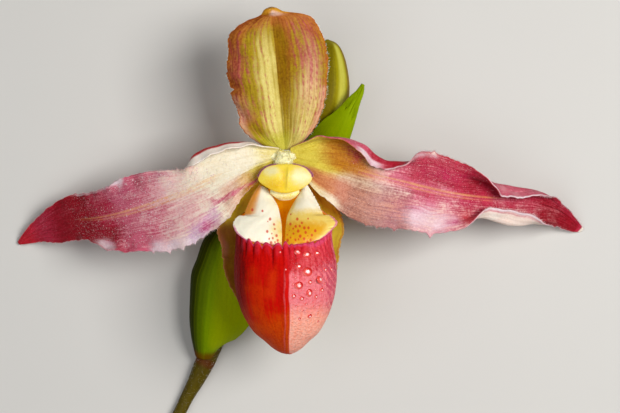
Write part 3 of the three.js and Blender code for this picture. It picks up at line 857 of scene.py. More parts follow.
# Painted light on the pouch: its pink right half and peach toe are partly a painted sheen of the key light,
# its left edge and the pleats' valleys painted shade, and the keel line, the pleats' crests and the wrinkles
# carry painted highlights.
POUCH_FINISH = TissueFinish(
    "pouch_skin", "cc0a02",
    (
        Layer("side", "860200", 0.5, 0.85), Layer("ember", "dc3e00", 1.6, 0.75),
        Layer("toe", "d85404", 0.8, 0.8), Layer("right", "ee868e", 0.3, 0.95),
        Layer("blush", "ffbca4", 0.4, 0.9), Layer("wrinkle_pink_and_sheen", "cc4464", 1.2, 0.75),
        Layer("wet", "d02430", 1.0, 0.75), Layer("crest", "de3a50", 0.8, 0.45),
        Layer("valley_shade", "800008", 0.3, 0.75), Layer("keel", "dc7478", 1.2, 0.4),
        Layer("furrow", "c04c10", 0.9, 0.7), Layer("rim", "d84c74", 0.1, 0.8),
        Layer("claw", "d8b060", 0.3, 0.9), Layer("inside", "ffbc10", 0.2, 0.95),
    ),
    grain=(4.0, 120.0), glow=0.03, relief=0.00012, streaks=0.4, frost_glints=0.36, shine=0.05, powder=0.08,
    pebble=1.0, painted_glow=("inside", "dca800", 0.13),
)
LOBE_FINISH = TissueFinish(
    "lobe_skin", "fbf5e0",
    (
        Layer("yellow", "efcc3c", 0.3, 0.85), Layer("amber", "e0a200", 0.3, 0.95),
        Layer("shade", "e89400", 0.1, 0.95), Layer("pink", "d46c98", 0.4, 0.85),
        Layer("spots", "d23c1c", 0.2, 0.85),
    ),
    grain=(14.0, 14.0), roughness=0.42, glow=0.08, gloss=0.1, relief=0.0001, streaks=0.07,
)
STAMINODE_FINISH = TissueFinish(
    "staminode_skin", "f0d440",
    (
        Layer("amber", "e6b80c", 0.5, 0.8), Layer("pale", "efe4aa", 0.6, 0.9),
        Layer("plum", "aa4478", 0.4, 0.85),
    ),
    grain=(8.0, 12.0), roughness=0.42, velvet=0.02, glow=0.06, gloss=0.1, relief=0.0001, streaks=0.08,
    frost_glints=0.5, powder=0.2, cloud=0.15,
)
COLUMN_FINISH = TissueFinish(
    "column_skin", "e6d038", (Layer("white", "fffbd4", 0.8, 0.95),), roughness=0.55, glow=0.2, streaks=0.05
)
ANTHER_FINISH = TissueFinish(
    "anther_skin", "d8b840", grain=(60.0, 60.0), roughness=0.6, glow=0.1, relief=0.0001, streaks=0.2
)
OVARY_FINISH = TissueFinish(
    "ovary_skin", "8c8636", (Layer("crest", "6f4a26", 0.4, 0.6), Layer("base", "7a5a2a", 0.2, 0.7)),
    grain=(16.0, 30.0), roughness=0.6, glow=0.08, streaks=0.2,
)
# west is painted shade: darker on the side away from the key light.
STEM_FINISH = TissueFinish(
    "stem_skin", "6a5c04",
    (Layer("west", "4a3c00", 0.1, 0.6), Layer("node", "642c08", 0.2, 0.8), Layer("cut", "c9c48a", 0.1)),
    grain=(30.0, 20.0), roughness=0.55, glow=0.04, streaks=0.22, shine=0.12,
)
# ridge is a painted highlight down the bud's front, and shade painted shade on its left.
BUD_FINISH = TissueFinish(
    "bud_skin", "a0960a",
    (
        Layer("shade", "645400", 0.3, 0.7), Layer("ridge", "d4d058", 0.3, 0.75),
        Layer("east", "7c5c14", 0.2, 0.7), Layer("base", "7c8a08", 0.2, 0.5),
        Layer("tip", "9c9010", 0.2, 0.6),
    ),
    grain=(5.0, 50.0), glow=0.05, streaks=0.15, shine=0.06,
)
# Both waters are painted: shade on the side towards the light, light on the far side and a white glint at the
# top.
DROP_FINISH = WaterFinish("drop_water", "c01410", "e44a44", "ee8c80", 0.3, 0.12, 0.7)
DEW_FINISH = WaterFinish("dew_water", "d8a4ac", "e6c0c6", "f4e0e0", 0.4, 0.25, 0.3)
PALE_HAIR = HairFinish("pale_hair", "f6f0da", "ffffff")
GOLD_HAIR = HairFinish("gold_hair", "ece088", "fffce0")
ROSE_HAIR = HairFinish("rose_hair", "e4a4ac", "fdf0f0")
PLUM_HAIR = HairFinish("plum_hair", "a84478", "cf8cae")


# ---------------- blades


# Power that crowds the columns of points on a blade towards its margins.
CROWDING = 1.15


@dataclass(frozen=True)
class Half:
    """One half of a blade, from midrib to margin, by place along the blade.

    Attributes:
        width: Length from midrib to margin, measured over the surface.
        lean: Angle at which the half leaves the midrib.
        curl: Angle through which it bends towards the front.
        start: Where across the half the bend starts.
        teeth: Place, height and half breadth of each tooth on the margin.
    """

    width: Knots
    lean: Knots
    curl: Knots
    start: Knots
    teeth: Points = ()


@dataclass
class Blade(ABC):
    """A petal, sepal or bract: a thin plate swept out from its midrib.

    At each place along the midrib the half on either side leaves it at its lean, and turns by its
    curl as it goes: angle = lean + curl * smooth((t - start) / bend). The surface is the midrib
    point plus the running sums of cos(angle) across and sin(angle) towards the front.

    Attributes:
        name: Name of the finished piece.
        node: The solid that it stands for.
        slot: The record's slot.
        finish: Its finish.
        side: 1 where the blade's upper half is on the left of its midrib seen from its tip.
        bend: How much of a half its bend takes.
        midrib: Equally spaced points.
        upper: The half at positive t.
        lower: The half at negative t.
        rows: Rows of points along the blade.
        cells: Cells across each half.
        thick: Thickness along the midrib.
        thin: Thickness at the margins.
        frill: Height of the ripples at the margin, and how many run along it.
        ragged: How far the margin wavers in its own plane.
        seed: Seed of every draw on this blade.
        front, outward: Points of the finished front face and its normals.
    """

    name: str
    node: str
    slot: Slot
    finish: TissueFinish
    side: int
    bend: float
    midrib: Points
    upper: Half
    lower: Half
    rows: int
    cells: int
    thick: float = 0.7
    thin: float = 0.35
    frill: tuple[float, float] = (0.0, 1.0)
    ragged: float = 0.0
    seed: int = 1
    front: Array = later()
    outward: Array = later()

    def half_lines(self, half: Half, u: Array, reach: Array, seed: int) -> tuple[Array, Array]:
        """How far the points of one half lie from the midrib, across and towards the front.

        Args:
            half: The half's sizes.
            u: Places along the blade.
            reach: Places across the half from 0 to 1.
            seed: Seed of the margin's wavering.

        Returns:
            The distance across and the lift, each by place along and across.
        """
        sizes = (half.width, half.lean, half.curl, half.start)
        width, lean, curl, start = (softened(profile(k, u), 0.008 * self.rows)[:, None] for k in sizes)
        fine = 240
        middle = (np.arange(fine) + 0.5) / fine
        angle = lean + curl * smooth((middle - start) / self.bend)
        spread = np.clip(width, 0.05, None)
        edge = self.ragged * wander(u, seed, 14, 60, 14) * rise(u, 0, 0.1) * fall(u, 0.9, 0.1)
        for place, height, breadth in half.teeth:
            edge = edge + height * np.clip(1 - np.abs(u - place) / breadth, 0, 1) ** 1.3
        share = (spread * reach + edge[:, None] * rise(reach, 0.8, 0.2)) / spread
        where = np.clip(share, 0, None) * fine
        i = np.clip(where.astype(int), 0, fine - 1)
        s, row = where - i, np.arange(len(u))[:, None]
        sums = (np.pad(np.cumsum(way(angle), axis=1) / fine, ((0, 0), (1, 0))) for way in (np.cos, np.sin))
        across, lift = ((total[row, i] * (1 - s) + total[row, i + 1] * s) * spread for total in sums)
        return across, lift

    def surface(self) -> tuple[Array, Array, Array]:
        """The blade's middle surface.

        Returns:
            The points, and u and t at each of them.
        """
        u = np.linspace(0, 1, self.rows + 1)
        reach = 1 - (1 - np.linspace(0, 1, self.cells + 1)) ** CROWDING
        centre = path(self.midrib, u)
        tangent = unit(path(self.midrib, u + 1e-3) - path(self.midrib, u - 1e-3))
        out = unit(np.array([0, 0, 1.0]) - tangent[:, 2:] * tangent)
        cross = np.cross(tangent, out) * self.side
        low = self.half_lines(self.lower, u, reach[1:], self.seed)
        high = self.half_lines(self.upper, u, reach[1:], self.seed + 1)
        zero = np.zeros((len(u), 1))
        aside = np.hstack([-low[0][:, ::-1], zero, high[0]])
        lift = np.hstack([low[1][:, ::-1], zero, high[1]])
        grid = centre[:, None] + cross[:, None] * aside[..., None] + out[:, None] * lift[..., None]
        t_grid, u_grid = np.meshgrid(np.concatenate([-reach[:0:-1], reach]), u)
        return grid, u_grid, t_grid

    def relief(self, u: Array, t: Array) -> Array:
        """Height of the surface's own detail towards the front: here the margin's frill.

        Args:
            u: Places along the blade.
            t: Places across it.

        Returns:
            The height at each point.
        """
        size, count = self.frill
        wave = np.sin(2 * math.pi * count * u + 2.4 * wander(u, self.seed + 5, 1, 4) + np.sign(t))
        return size * np.abs(t) ** 4 * wave * rise(u, 0, 0.12) * fall(u, 0.92, 0.08)

    def thickness(self, u: Array, t: Array) -> Array:
        """Thickness: full to mid-half, then thinning towards the margin."""
        return self.thick + (self.thin - self.thick) * rise(np.abs(t), 0.35, 0.65)

    @abstractmethod
    def pigments(self, u: Array, t: Array) -> Marks:
        """Where each pigment lies on the front, by name."""

    def back_pigments(self, u: Array, t: Array) -> Marks:
        """Where each lies on the back: as on the front, unless the kind of blade says otherwise."""
        return self.pigments(u, t)

    def build(self) -> None:
        """Makes the blade and dresses it."""
        middle, u, t = self.surface()
        middle = middle - self.side * grid_normals(middle) * self.relief(u, t)[..., None]
        self.outward = -self.side * grid_normals(middle)
        half = 0.5 * self.outward * self.thickness(u, t)[..., None]
        self.front = middle + half
        skin = plate(self.front, middle - half, np.stack([u, (t + 1) / 2], -1), self.side > 0)
        fore, aft = self.pigments(u, t), self.back_pigments(u, t)
        skin.marks = {key: np.concatenate([fore[key].ravel(), aft[key].ravel()]) for key in fore}
        skin.dress(self.name, self.finish, self.slot, self.node)

    def build_hairs(self, name: str, count: int, ranges: Points, finish: HairFinish) -> None:
        """Makes the fine hairs along the finished blade's margins.

        Args:
            name: Name of the piece.
            count: How many hairs over all ranges.
            ranges: Start and end along the blade, the side of the midrib, and the hairs' share.
            finish: Their finish.
        """
        draw = np.random.default_rng(self.seed + 17)
        roots, ways, lengths = [], [], []
        for low, high, side, share in ranges:
            n = int(count * share)
            i = self._row(draw.uniform(low, high, n))
            j = 2 * self.cells if side > 0 else 0
            rim, inner = self.front[i, j], self.front[i, j - side * draw.integers(1, 4, n)]
            roots.append(rim - self.outward[i, j] * draw.uniform(0, 0.3, n)[:, None])
            ways.append(unit(unit(rim - inner) + draw.normal(0, 0.4, (n, 3)) + 0.2 * self.outward[i, j]))
            lengths.append(draw.uniform(0.3, 0.75, n))
        hairs = (np.concatenate(parts) for parts in (roots, ways, lengths))
        cones(*hairs, thick=0.03, droop=0.05).dress(name, finish, self.slot)

    def build_dew(self, name: str, count: int, along: tuple[float, float], size: tuple[float, float]) -> None:
        """Makes a fine spray of dew on the finished blade's front face.

        Args:
            name: Name of the piece.
            count: How many drops are drawn. Those on steep places are left out.
            along: First and last place along the blade.
            size: Least and greatest radius of a drop.
        """
        draw = np.random.default_rng(self.seed + 23)
        i = self._row(draw.triangular(along[0], 0.5 * sum(along), along[1], count))
        t = draw.uniform(-0.9, 0.9, count)
        reach = 1 - (1 - np.abs(t)) ** (1 / CROWDING)
        j = self.cells + np.round(np.sign(t) * reach * self.cells).astype(int)
        radius = size[0] + (size[1] - size[0]) * draw.uniform(0, 1, count) ** 7
        where, up = self.front[i, j], self.outward[i, j]
        kept = up[:, 2] > 0.15
        feet = np.stack([radius, radius], -1)[kept]
        skin = domes(where[kept], up[kept], feet, tall=0.7, sides=6, rings=2)
        skin.dress(name, DEW_FINISH, self.slot)

    def _row(self, u: Array) -> Array:
        """The row of points nearest to each place along the blade."""
        return np.clip(np.round(u * self.rows).astype(int), 0, self.rows)


PETAL_MARKS = (
    "yellow", "salmon", "umber_and_shade", "blush", "rose", "crimson", "maroon", "lilac", "pearl", "violet",
    "magenta", "dusk", "gold", "scarlet", "frost_glints",
)


@dataclass
class Petal(Blade):
    """A long waved petal with fine lengthwise veins.

    Attributes:
        patches: Soft patches of each pigment on the front: weight, place and breadth in u and t.
        gilded: Where the two gold lines beside the midrib start and end, and how softly.
    """

    patches: Mapping[str, Points] = field(default_factory=dict)
    gilded: tuple[float, float, float] = (0.3, 0.7, 0.12)

    def relief(self, u: Array, t: Array) -> Array:
        """Frill, a shallow groove along the midrib, low veins and broad unevenness.

        Args:
            u: Places along the blade.
            t: Places across it.

        Returns:
            The height at each point.
        """
        veins = np.cos(2 * math.pi * 6.5 * np.abs(t) + 0.8 * wander(u, self.seed + 7, 0.5, 3))
        groove = 0.1 * bell(t, 0, 0.14) - 0.22 * bell(t, 0, 0.05)
        uneven = 0.16 * wander(u * 6 + t * 1.7, self.seed + 9, 0.3, 1.4) * rise(np.abs(t), 0, 0.4)
        own = (0.045 * veins * (1 - t**6) + groove + uneven) * band(u, 0.08, 0.92, 0.08)
        return super().relief(u, t) + own

    @abstractmethod
    def front_stains(self, u: Array, t: Array) -> Marks:
        """Pigments on the front, without its patches and not yet held between 0 and 1."""

    @abstractmethod
    def back_stains(self, u: Array, t: Array) -> Marks:
        """Pigments on the back, not yet held between 0 and 1."""

    def pigments(self, u: Array, t: Array) -> Marks:
        """The front's pigments with its patches and the gold lines beside the midrib.

        Args:
            u: Places along the petal.
            t: Places across it.

        Returns:
            The marks by name.
        """
        laid = self.front_stains(u, t)
        laid = {k: laid.get(k, 0) + spots(u, t, *self.patches.get(k, ())) for k in PETAL_MARKS}
        lines = bell(t, 0.045, 0.03) + 0.6 * bell(t, -0.06, 0.025)
        laid["gold"] = laid["gold"] + 0.6 * lines * band(u, *self.gilded)
        return self._held(laid, u)

    def back_pigments(self, u: Array, t: Array) -> Marks:
        """The back's pigments."""
        return self._held(self.back_stains(u, t), u)

    @staticmethod
    def _held(laid: Marks, u: Array) -> Marks:
        """Every petal pigment at each point, held between 0 and 1."""
        return {key: np.clip(laid.get(key, 0) + 0 * u, 0, 1) for key in PETAL_MARKS}


# The amber-brown patches at the base are partly painted shade under the staminode and along the lower margin.
LEFT_PATCHES = {
    "umber_and_shade": ((0.5, 0.11, -0.72, 0.04, 0.34), (0.3, 0.085, -0.4, 0.03, 0.22), (0.6, 0.15, -1, 0.04, 0.2)),
    "maroon": ((0.5, 0.51, 0.75, 0.03, 0.2), (0.6, 0.64, -0.5, 0.04, 0.3)),
    "lilac": ((0.6, 0.575, 0.9, 0.02, 0.18), (1, 0.67, -0.92, 0.035, 0.25)),
    "violet": ((0.6, 0.37, -0.82, 0.06, 0.2), (0.5, 0.3, -0.7, 0.03, 0.2)),
    "magenta": (
        (0.7, 0.34, -0.86, 0.035, 0.12), (0.5, 0.42, 0.85, 0.06, 0.15), (0.45, 0.58, 0.5, 0.06, 0.2),
        (0.35, 0.66, -0.75, 0.03, 0.12),
    ),
}

LEFT_PETAL = dict(
    name="left_petal_blade", node="petal_left", slot=Slot.PETAL, finish=PETAL_FINISH,
    side=1, bend=0.34,
    midrib=(
        (-1, -0.5, 26.5), (-7.5, -2.3, 27.8), (-14, -4.6, 28.2), (-20.5, -7.3, 27.5),
        (-27, -9.9, 25.5), (-33.9, -12.5, 22), (-41, -14.6, 17.8), (-48.1, -16, 13),
        (-55.3, -16.6, 8.2), (-62.4, -18.4, 3.8), (-68.9, -22.3, 0.4),
    ),
    upper=Half(
        width=((0, 2.4), (0.05, 4.6), (0.1, 8), (0.15, 9.9), (0.2, 11.2), (0.25, 12), (0.28, 11.8),
               (0.305, 9.6), (0.33, 5.5), (0.36, 5.6), (0.41, 6.8), (0.48, 8.2), (0.56, 8.6),
               (0.61, 7.8), (0.7, 6.8), (0.78, 6.4), (0.84, 5), (0.9, 3), (0.96, 1.6), (1, 0.5)),
        lean=((0, 0.1), (1, 0.1)),
        curl=((0, 0.8), (0.05, 1.5), (0.1, 1.87), (0.15, 2), (0.2, 2.1), (0.25, 2.33),
              (0.285, 2.4), (0.305, 2.1), (0.33, 0.6), (0.4, -0.2), (0.5, -0.3), (0.57, 0.1),
              (0.63, 0.5), (0.7, 0), (1, 0.2)),
        start=((0, 0.5), (1, 0.5)),
        teeth=((0.765, 0.5, 0.008), (0.62, 0.35, 0.01), (0.36, 0.4, 0.008)),
    ),
    lower=Half(
        width=((0, 1.6), (0.08, 3.6), (0.125, 5), (0.175, 6.4), (0.225, 8.8), (0.275, 10.9),
               (0.35, 12), (0.42, 12.9), (0.5, 12.2), (0.55, 10.8), (0.6, 10.2), (0.66, 9.4),
               (0.7, 7), (0.73, 5.2), (0.8, 5.1), (0.85, 5), (0.9, 3.8), (0.96, 2), (1, 0.5)),
        lean=((0, 0.2), (0.3, 0.1), (1, 0)),
        curl=((0, 0), (0.3, 0), (0.5, -0.2), (0.6, 0.7), (0.66, 1.3), (0.7, 1.1), (0.74, 0.3),
              (0.85, 0.1), (1, 0.1)),
        start=((0, 0.6), (1, 0.6)),
        teeth=((0.533, 0.6, 0.008), (0.488, 1.0, 0.009), (0.443, 0.8, 0.008), (0.4, 0.6, 0.008),
               (0.364, 0.3, 0.008)),
    ),
    rows=420, cells=36, frill=(0.22, 15.0), ragged=0.14, seed=11, patches=LEFT_PATCHES,
)

# Some patches are painted light and shade: the amber-brown and crimson ones near 0.2 along are shade under
# the rolled ear, the maroon and scarlet ones near 0.61 to 0.67 along shade under the second fold, the
# negative crimson one near 0.71 along lightens that shade, and the pearl one near 0.46 along is a highlight
# on the tooth's curl.
RIGHT_PATCHES = {
    "umber_and_shade": ((1, 0.18, 0.52, 0.075, 0.45), (0.8, 0.22, 0.05, 0.08, 0.25), (0.4, 0.3, 0.1, 0.05, 0.2)),
    "crimson": (
        (-0.35, 0.71, 0.02, 0.05, 0.15), (0.4, 0.46, -0.13, 0.1, 0.16), (0.6, 0.22, 0.42, 0.045, 0.3),
        (0.35, 0.57, -0.4, 0.05, 0.25),
    ),
    "maroon": ((0.7, 0.61, 0.45, 0.035, 0.35), (0.2, 0.66, 0.5, 0.04, 0.3)),
    "lilac": ((0.12, 0.36, 0.1, 0.06, 0.3),),
    "pearl": ((0.7, 0.462, 0.97, 0.012, 0.06), (0.25, 0.5, -0.72, 0.06, 0.2)),
    "magenta": (
        (0.2, 0.47, -0.7, 0.12, 0.3), (0.3, 0.4, -0.4, 0.09, 0.2), (0.3, 0.6, -0.25, 0.08, 0.2),
        (0.35, 0.5, 0.5, 0.12, 0.35), (0.4, 0.56, -0.75, 0.03, 0.1),
    ),
    "scarlet": ((0.4, 0.665, 0.55, 0.03, 0.4),),
}

RIGHT_PETAL = dict(
    name="right_petal_blade", node="petal_right", slot=Slot.PETAL, finish=PETAL_FINISH,
    side=-1, bend=0.34,
    midrib=(
        (1, -0.5, 26.5), (6.8, -1.8, 27.8), (13.8, -3, 28.5), (20.8, -4.8, 28.2), (27.8, -6.5, 27),
        (34.8, -8.3, 24.8), (41.9, -9.8, 21.6), (49.2, -10.8, 17.6), (56.6, -11.2, 13),
        (64, -12, 8.4), (70.8, -14.3, 4), (76.5, -19, 0.4),
    ),
    upper=Half(
        width=((0, 2.4), (0.05, 5.1), (0.1, 8.6), (0.15, 10.4), (0.2, 11.1), (0.24, 10.8),
               (0.28, 8.6), (0.32, 7), (0.35, 7.2), (0.38, 8), (0.41, 8.6), (0.45, 9.2), (0.5, 8.9),
               (0.56, 8.2), (0.6, 9.3), (0.64, 9.4), (0.68, 8.2), (0.75, 6.8), (0.8, 6.4),
               (0.85, 4), (0.9, 2), (0.95, 1.2), (1, 0.5)),
        lean=((0, 0.1), (1, 0.1)),
        curl=((0, 0.5), (0.05, 0.9), (0.1, 1.3), (0.15, 1.5), (0.2, 1.75), (0.225, 2.1), (0.25, 2.55),
              (0.275, 3), (0.3, 2.8), (0.33, 2.35), (0.355, 1.9), (0.38, 1.2), (0.41, 0.2),
              (0.45, -0.3), (0.5, -0.2), (0.56, 0.3), (0.6, 1.3), (0.625, 1.55), (0.65, 1.9),
              (0.675, 2.4), (0.73, 2.4), (0.775, 2.1), (0.81, 1.75), (0.85, 1.15), (0.9, 0.6),
              (0.95, 0.2), (1, 0)),
        start=((0, 0.5), (0.2, 0.45), (0.4, 0.45), (0.6, 0.32), (0.8, 0.3), (1, 0.4)),
        teeth=((0.462, 0.6, 0.01),),
    ),
    lower=Half(
        width=((0, 1.6), (0.08, 4.6), (0.125, 7.4), (0.175, 9.4), (0.24, 11.4), (0.31, 12.4),
               (0.36, 12), (0.42, 11.2), (0.5, 10.8), (0.56, 9.6), (0.6, 9.3), (0.64, 9),
               (0.68, 10.2), (0.72, 11.6), (0.76, 11.6), (0.8, 9.8), (0.84, 8.6), (0.875, 6),
               (0.91, 4.4), (0.95, 3.2), (0.98, 2), (1, 0.5)),
        lean=((0, 0.2), (0.3, 0.1), (1, 0.1)),
        curl=((0, 0), (0.3, -0.1), (0.5, 0.2), (0.56, 0.7), (0.6, 1.5), (0.63, 2.35), (0.7, 2.44),
              (0.75, 2.32), (0.8, 1.95), (0.84, 1.6), (0.875, 1.1), (0.91, 0.6), (0.95, 0.3), (1, 0.1)),
        start=((0, 0.6), (0.5, 0.5), (0.62, 0.4), (1, 0.4)),
        teeth=((0.495, 1.4, 0.011), (0.392, 0.9, 0.009), (0.335, 0.45, 0.007), (0.3, 0.35, 0.007),
               (0.24, 0.3, 0.008)),
    ),
    rows=440, cells=36, frill=(0.2, 16.0), ragged=0.12, seed=31, patches=RIGHT_PATCHES,
    gilded=(0.26, 0.66, 0.1),
)


@dataclass
class LeftPetal(Petal):
    """The petal on the bloom's left: cream at its base, rose in the middle, maroon at its tip."""

    def back_stains(self, u: Array, t: Array) -> Marks:
        """Rose that deepens to crimson towards the tip, with a pale rim.

        Args:
            u: Places along the blade.
            t: Places across it.

        Returns:
            The marks by name.
        """
        rim = rise(np.abs(t), 0.77, 0.08)
        return dict(
            blush=0.6, rose=rise(u, 0.36, 0.2), crimson=rise(u, 0.5, 0.2), lilac=0.8 * rim,
            pearl=0.85 * rim * fall(u, 0.42, 0.1), scarlet=(1 - rim) * rise(u, 0.04, 0.1),
        )

    def front_stains(self, u: Array, t: Array) -> Marks:
        """Pigments by smooth steps along the petal, slid along by how far a point is across it.

        Args:
            u: Places along the blade.
            t: Places across it.

        Returns:
            The marks by name.
        """
        side, up, down = np.abs(t), rise(t, 0.3, 0.4), rise(-t, 0, 0.4)
        slid, late = u - 0.015 * down + 0.025 * up, u + 0.02 * down - 0.015 * up
        near = bell(t, 0, 0.14)
        stippled = band(u, 0.28, 0.45, 0.07) * fall(t, -0.1, 0.2)
        crease = -0.95 + (u - 0.08) * 2.3
        return dict(
            yellow=fall(u, 0.01 + 0.07 * down, 0.17) * (0.6 + 0.4 * down),
            salmon=0.5 * down * band(u, 0.14, 0.24, 0.05),
            blush=rise(slid + 0.055 * down, 0.235, 0.2) * (1 - 0.3 * stippled)
            * (1 - 0.45 * band(u, 0.34, 0.42, 0.03) * rise(t, -0.1, 0.1)),
            rose=rise(slid, 0.4, 0.16) * (1 - 0.4 * near * fall(u, 0.5, 0.1)) + 0.26 * stippled,
            crimson=rise(late, 0.56, 0.13),
            maroon=rise(late, 0.64, 0.12) * (1 - 0.75 * rise(u, 0.8, 0.1)),
            lilac=0.8 * rise(side, 0.6, 0.35) * band(u, 0.36, 0.5, 0.07) * (t < 0)
            + 0.55 * rise(t, 0.88, 0.1) * band(u, 0.58, 0.76, 0.03),
            magenta=0.75 * bell(t, crease, 0.09) * band(u, 0.11, 0.27, 0.05),
            gold=0.22 * near * band(u, 0.26, 0.64, 0.12),
            scarlet=0.5 * rise(side, 0.95, 0.04) * rise(u, 0.6, 0.1) + 0.55 * rise(u, 0.86, 0.12),
            frost_glints=band(u, 0.1, 0.72, 0.12) * (1 - 0.3 * rise(side, 0.8, 0.2)) + 0.25 * rise(u, 0.8, 0.1),
        )


@dataclass
class RightPetal(Petal):
    """The petal on the bloom's right: olive yellow at its base, then rose, folded near its tip."""

    def back_stains(self, u: Array, t: Array) -> Marks:
        """Crimson on the rolled upper half, pale on the lower half past the fold.

        Args:
            u: Places along the blade.
            t: Places across it.

        Returns:
            The marks by name.
        """
        side, upper = np.abs(t), t > 0
        # On the rolled ear, the pale band near the rim is partly a painted highlight where it faces the
        # light, and the maroon band beyond it partly painted shade.
        pale = 0.85 * rise(side, 0.8, 0.08) * band(u, 0.235, 0.285, 0.04) * upper
        line = rise(side, 0.93, 0.05) * rise(u, 0.3, 0.03)
        low = (t < 0) * rise(u, 0.5, 0.05)
        far = band(u, 0.67, 0.8, 0.04) * upper * rise(side, 0.3, 0.4)
        return dict(
            yellow=0.6 * fall(u, 0.04, 0.1), umber_and_shade=0.7 * band(u, 0, 0.14, 0.05), blush=0.9,
            rose=1 - 0.7 * low, crimson=0.8 * (1 - low) * rise(u, 0.2, 0.1) * (1 - 0.3 * far),
            maroon=0.45 * band(u, 0.27, 0.4, 0.04) * (1 - pale) * upper,
            lilac=np.maximum(np.maximum(pale, line), 0.25 * far),
            pearl=0.7 * low * band(side, 0.1, 0.86, 0.08),
            scarlet=0.3 * rise(u, 0.1, 0.1) * (1 - low) * (1 - 0.9 * pale) * fall(u, 0.55, 0.1),
        )

    def front_stains(self, u: Array, t: Array) -> Marks:
        """Pigments by smooth steps along the petal, bands on its halves and a stroked pale patch.

        Args:
            u: Places along the blade.
            t: Places across it.

        Returns:
            The marks by name.
        """
        side, up, down = np.abs(t), rise(t, 0, 0.3), rise(-t, 0, 0.3)
        edge, wide, near = rise(side, 0.72, 0.25), rise(side, 0.65, 0.25), bell(t, 0, 0.14)
        slant = t + 0.04 * wander(u * 3, self.seed + 15, 1, 4)
        strokes = 0.75 + 0.35 * wander(slant, self.seed + 14, 6, 16, 12)
        return dict(
            yellow=fall(u, 0.1 + 0.08 * rise(t, -0.3, 0.4), 0.14) * (1 - 0.6 * down * wide),
            salmon=rise(-t, 0.02, 0.5) * band(u, 0.1, 0.4, 0.06) * (1 - 0.7 * wide * fall(u, 0.18, 0.08))
            + 0.4 * up * band(u, 0.22, 0.3, 0.05) + 0.7 * near * band(u, 0.24, 0.36, 0.05),
            umber_and_shade=0.25 * down * spots(u, t, (1, 0.28, -0.3, 0.1, 0.4)),
            blush=0.75 * rise(u, 0.22, 0.12) * (1 - 0.4 * down * fall(u, 0.4, 0.08)),
            rose=rise(u, 0.29 - 0.03 * up, 0.14) * (0.9 - 0.25 * down)
            + 0.3 * near * band(u, 0.26, 0.45, 0.05),
            crimson=0.9 * rise(u, 0.32, 0.12) * up + 0.75 * rise(u, 0.52, 0.14),
            maroon=0.9 * rise(u, 0.78, 0.08) * (0.85 - 0.4 * rise(t, 0.15, 0.4)) * fall(u, 0.975, 0.015),
            lilac=strokes * spots(u, t, (1, 0.48, -0.72, 0.1, 0.34))
            + 0.6 * edge * up * band(u, 0.38, 0.46, 0.04)
            + 0.5 * down * band(u, 0.66, 0.8, 0.03) * rise(side, 0.5, 0.3),
            pearl=rise(u, 0.988, 0.008),
            gold=0.12 * near * band(u, 0.28, 0.55, 0.1),
            # Its second term is painted shade: a red spot where the lower margin turns into its fold.
            scarlet=0.5 * rise(side, 0.95, 0.04) * (t > 0) * rise(u, 0.06, 0.05)
            + 0.6 * down * spots(u, t, (1, 0.595, -0.8, 0.025, 0.5)),
            dusk=fall(t, -0.22, 0.3) * band(u, 0.25, 0.4, 0.06) * (0.52 + 0.36 * edge)
            + 0.2 * down * edge * band(u, 0.4, 0.6, 0.04),
            frost_glints=0.5 * band(u, 0.25, 0.8, 0.08) * (1 - spots(u, t, (1, 0.62, 0.35, 0.07, 0.5))),
        )


DORSAL_LEAN = ((0, 0.55), (0.5, 0.5), (0.85, 0.35), (1, 0.15))
DORSAL_CURL = ((0, -0.9), (0.5, -1.15), (0.85, -0.8), (1, -0.2))
# A value that stays 0 all along a blade.
FLAT = ((0, 0), (1, 0))

DORSAL_SEPAL = dict(
    name="dorsal_sepal_blade", node="dorsal_sepal", slot=Slot.DORSAL, finish=DORSAL_FINISH,
    side=1, bend=1.0,
    midrib=(
        (0, 1.5, 25.1), (-0.4, 5.6, 27.2), (-0.8, 10, 28.6), (-1.25, 14.4, 29.3), (-1.7, 18.7, 29.5),
        (-2.1, 23, 29.5), (-2.5, 27.3, 29.4), (-3, 31.7, 29.6), (-3.4, 36.4, 30.8),
    ),
    upper=Half(
        width=((0, 1.8), (0.05, 5.1), (0.1, 6.9), (0.2, 9.6), (0.3, 11.6), (0.4, 12.7), (0.5, 13.3),
               (0.6, 13.7), (0.7, 13.5), (0.8, 12.5), (0.85, 11.7), (0.9, 10.5), (0.925, 9.7),
               (0.95, 7.4), (0.965, 3.4), (0.98, 2.3), (0.99, 2), (1, 1.2)),
        lean=DORSAL_LEAN, curl=DORSAL_CURL, start=FLAT,
    ),
    lower=Half(
        width=((0, 1.8), (0.05, 5.6), (0.1, 8.1), (0.2, 11), (0.3, 11.7), (0.4, 12.6), (0.46, 12.6),
               (0.5, 13.1), (0.57, 13.5), (0.65, 13), (0.72, 12.5), (0.8, 12.1), (0.85, 11.5),
               (0.88, 10), (0.91, 8), (0.935, 5.6), (0.95, 3.2), (0.97, 2.3), (0.99, 2), (1, 1.2)),
        lean=DORSAL_LEAN, curl=DORSAL_CURL, start=FLAT,
        teeth=((0.46, -0.9, 0.02), (0.215, 0.5, 0.015), (0.43, 0.4, 0.02)),
    ),
    rows=260, cells=44, frill=(0.18, 8.0), ragged=0.16, seed=51,
)


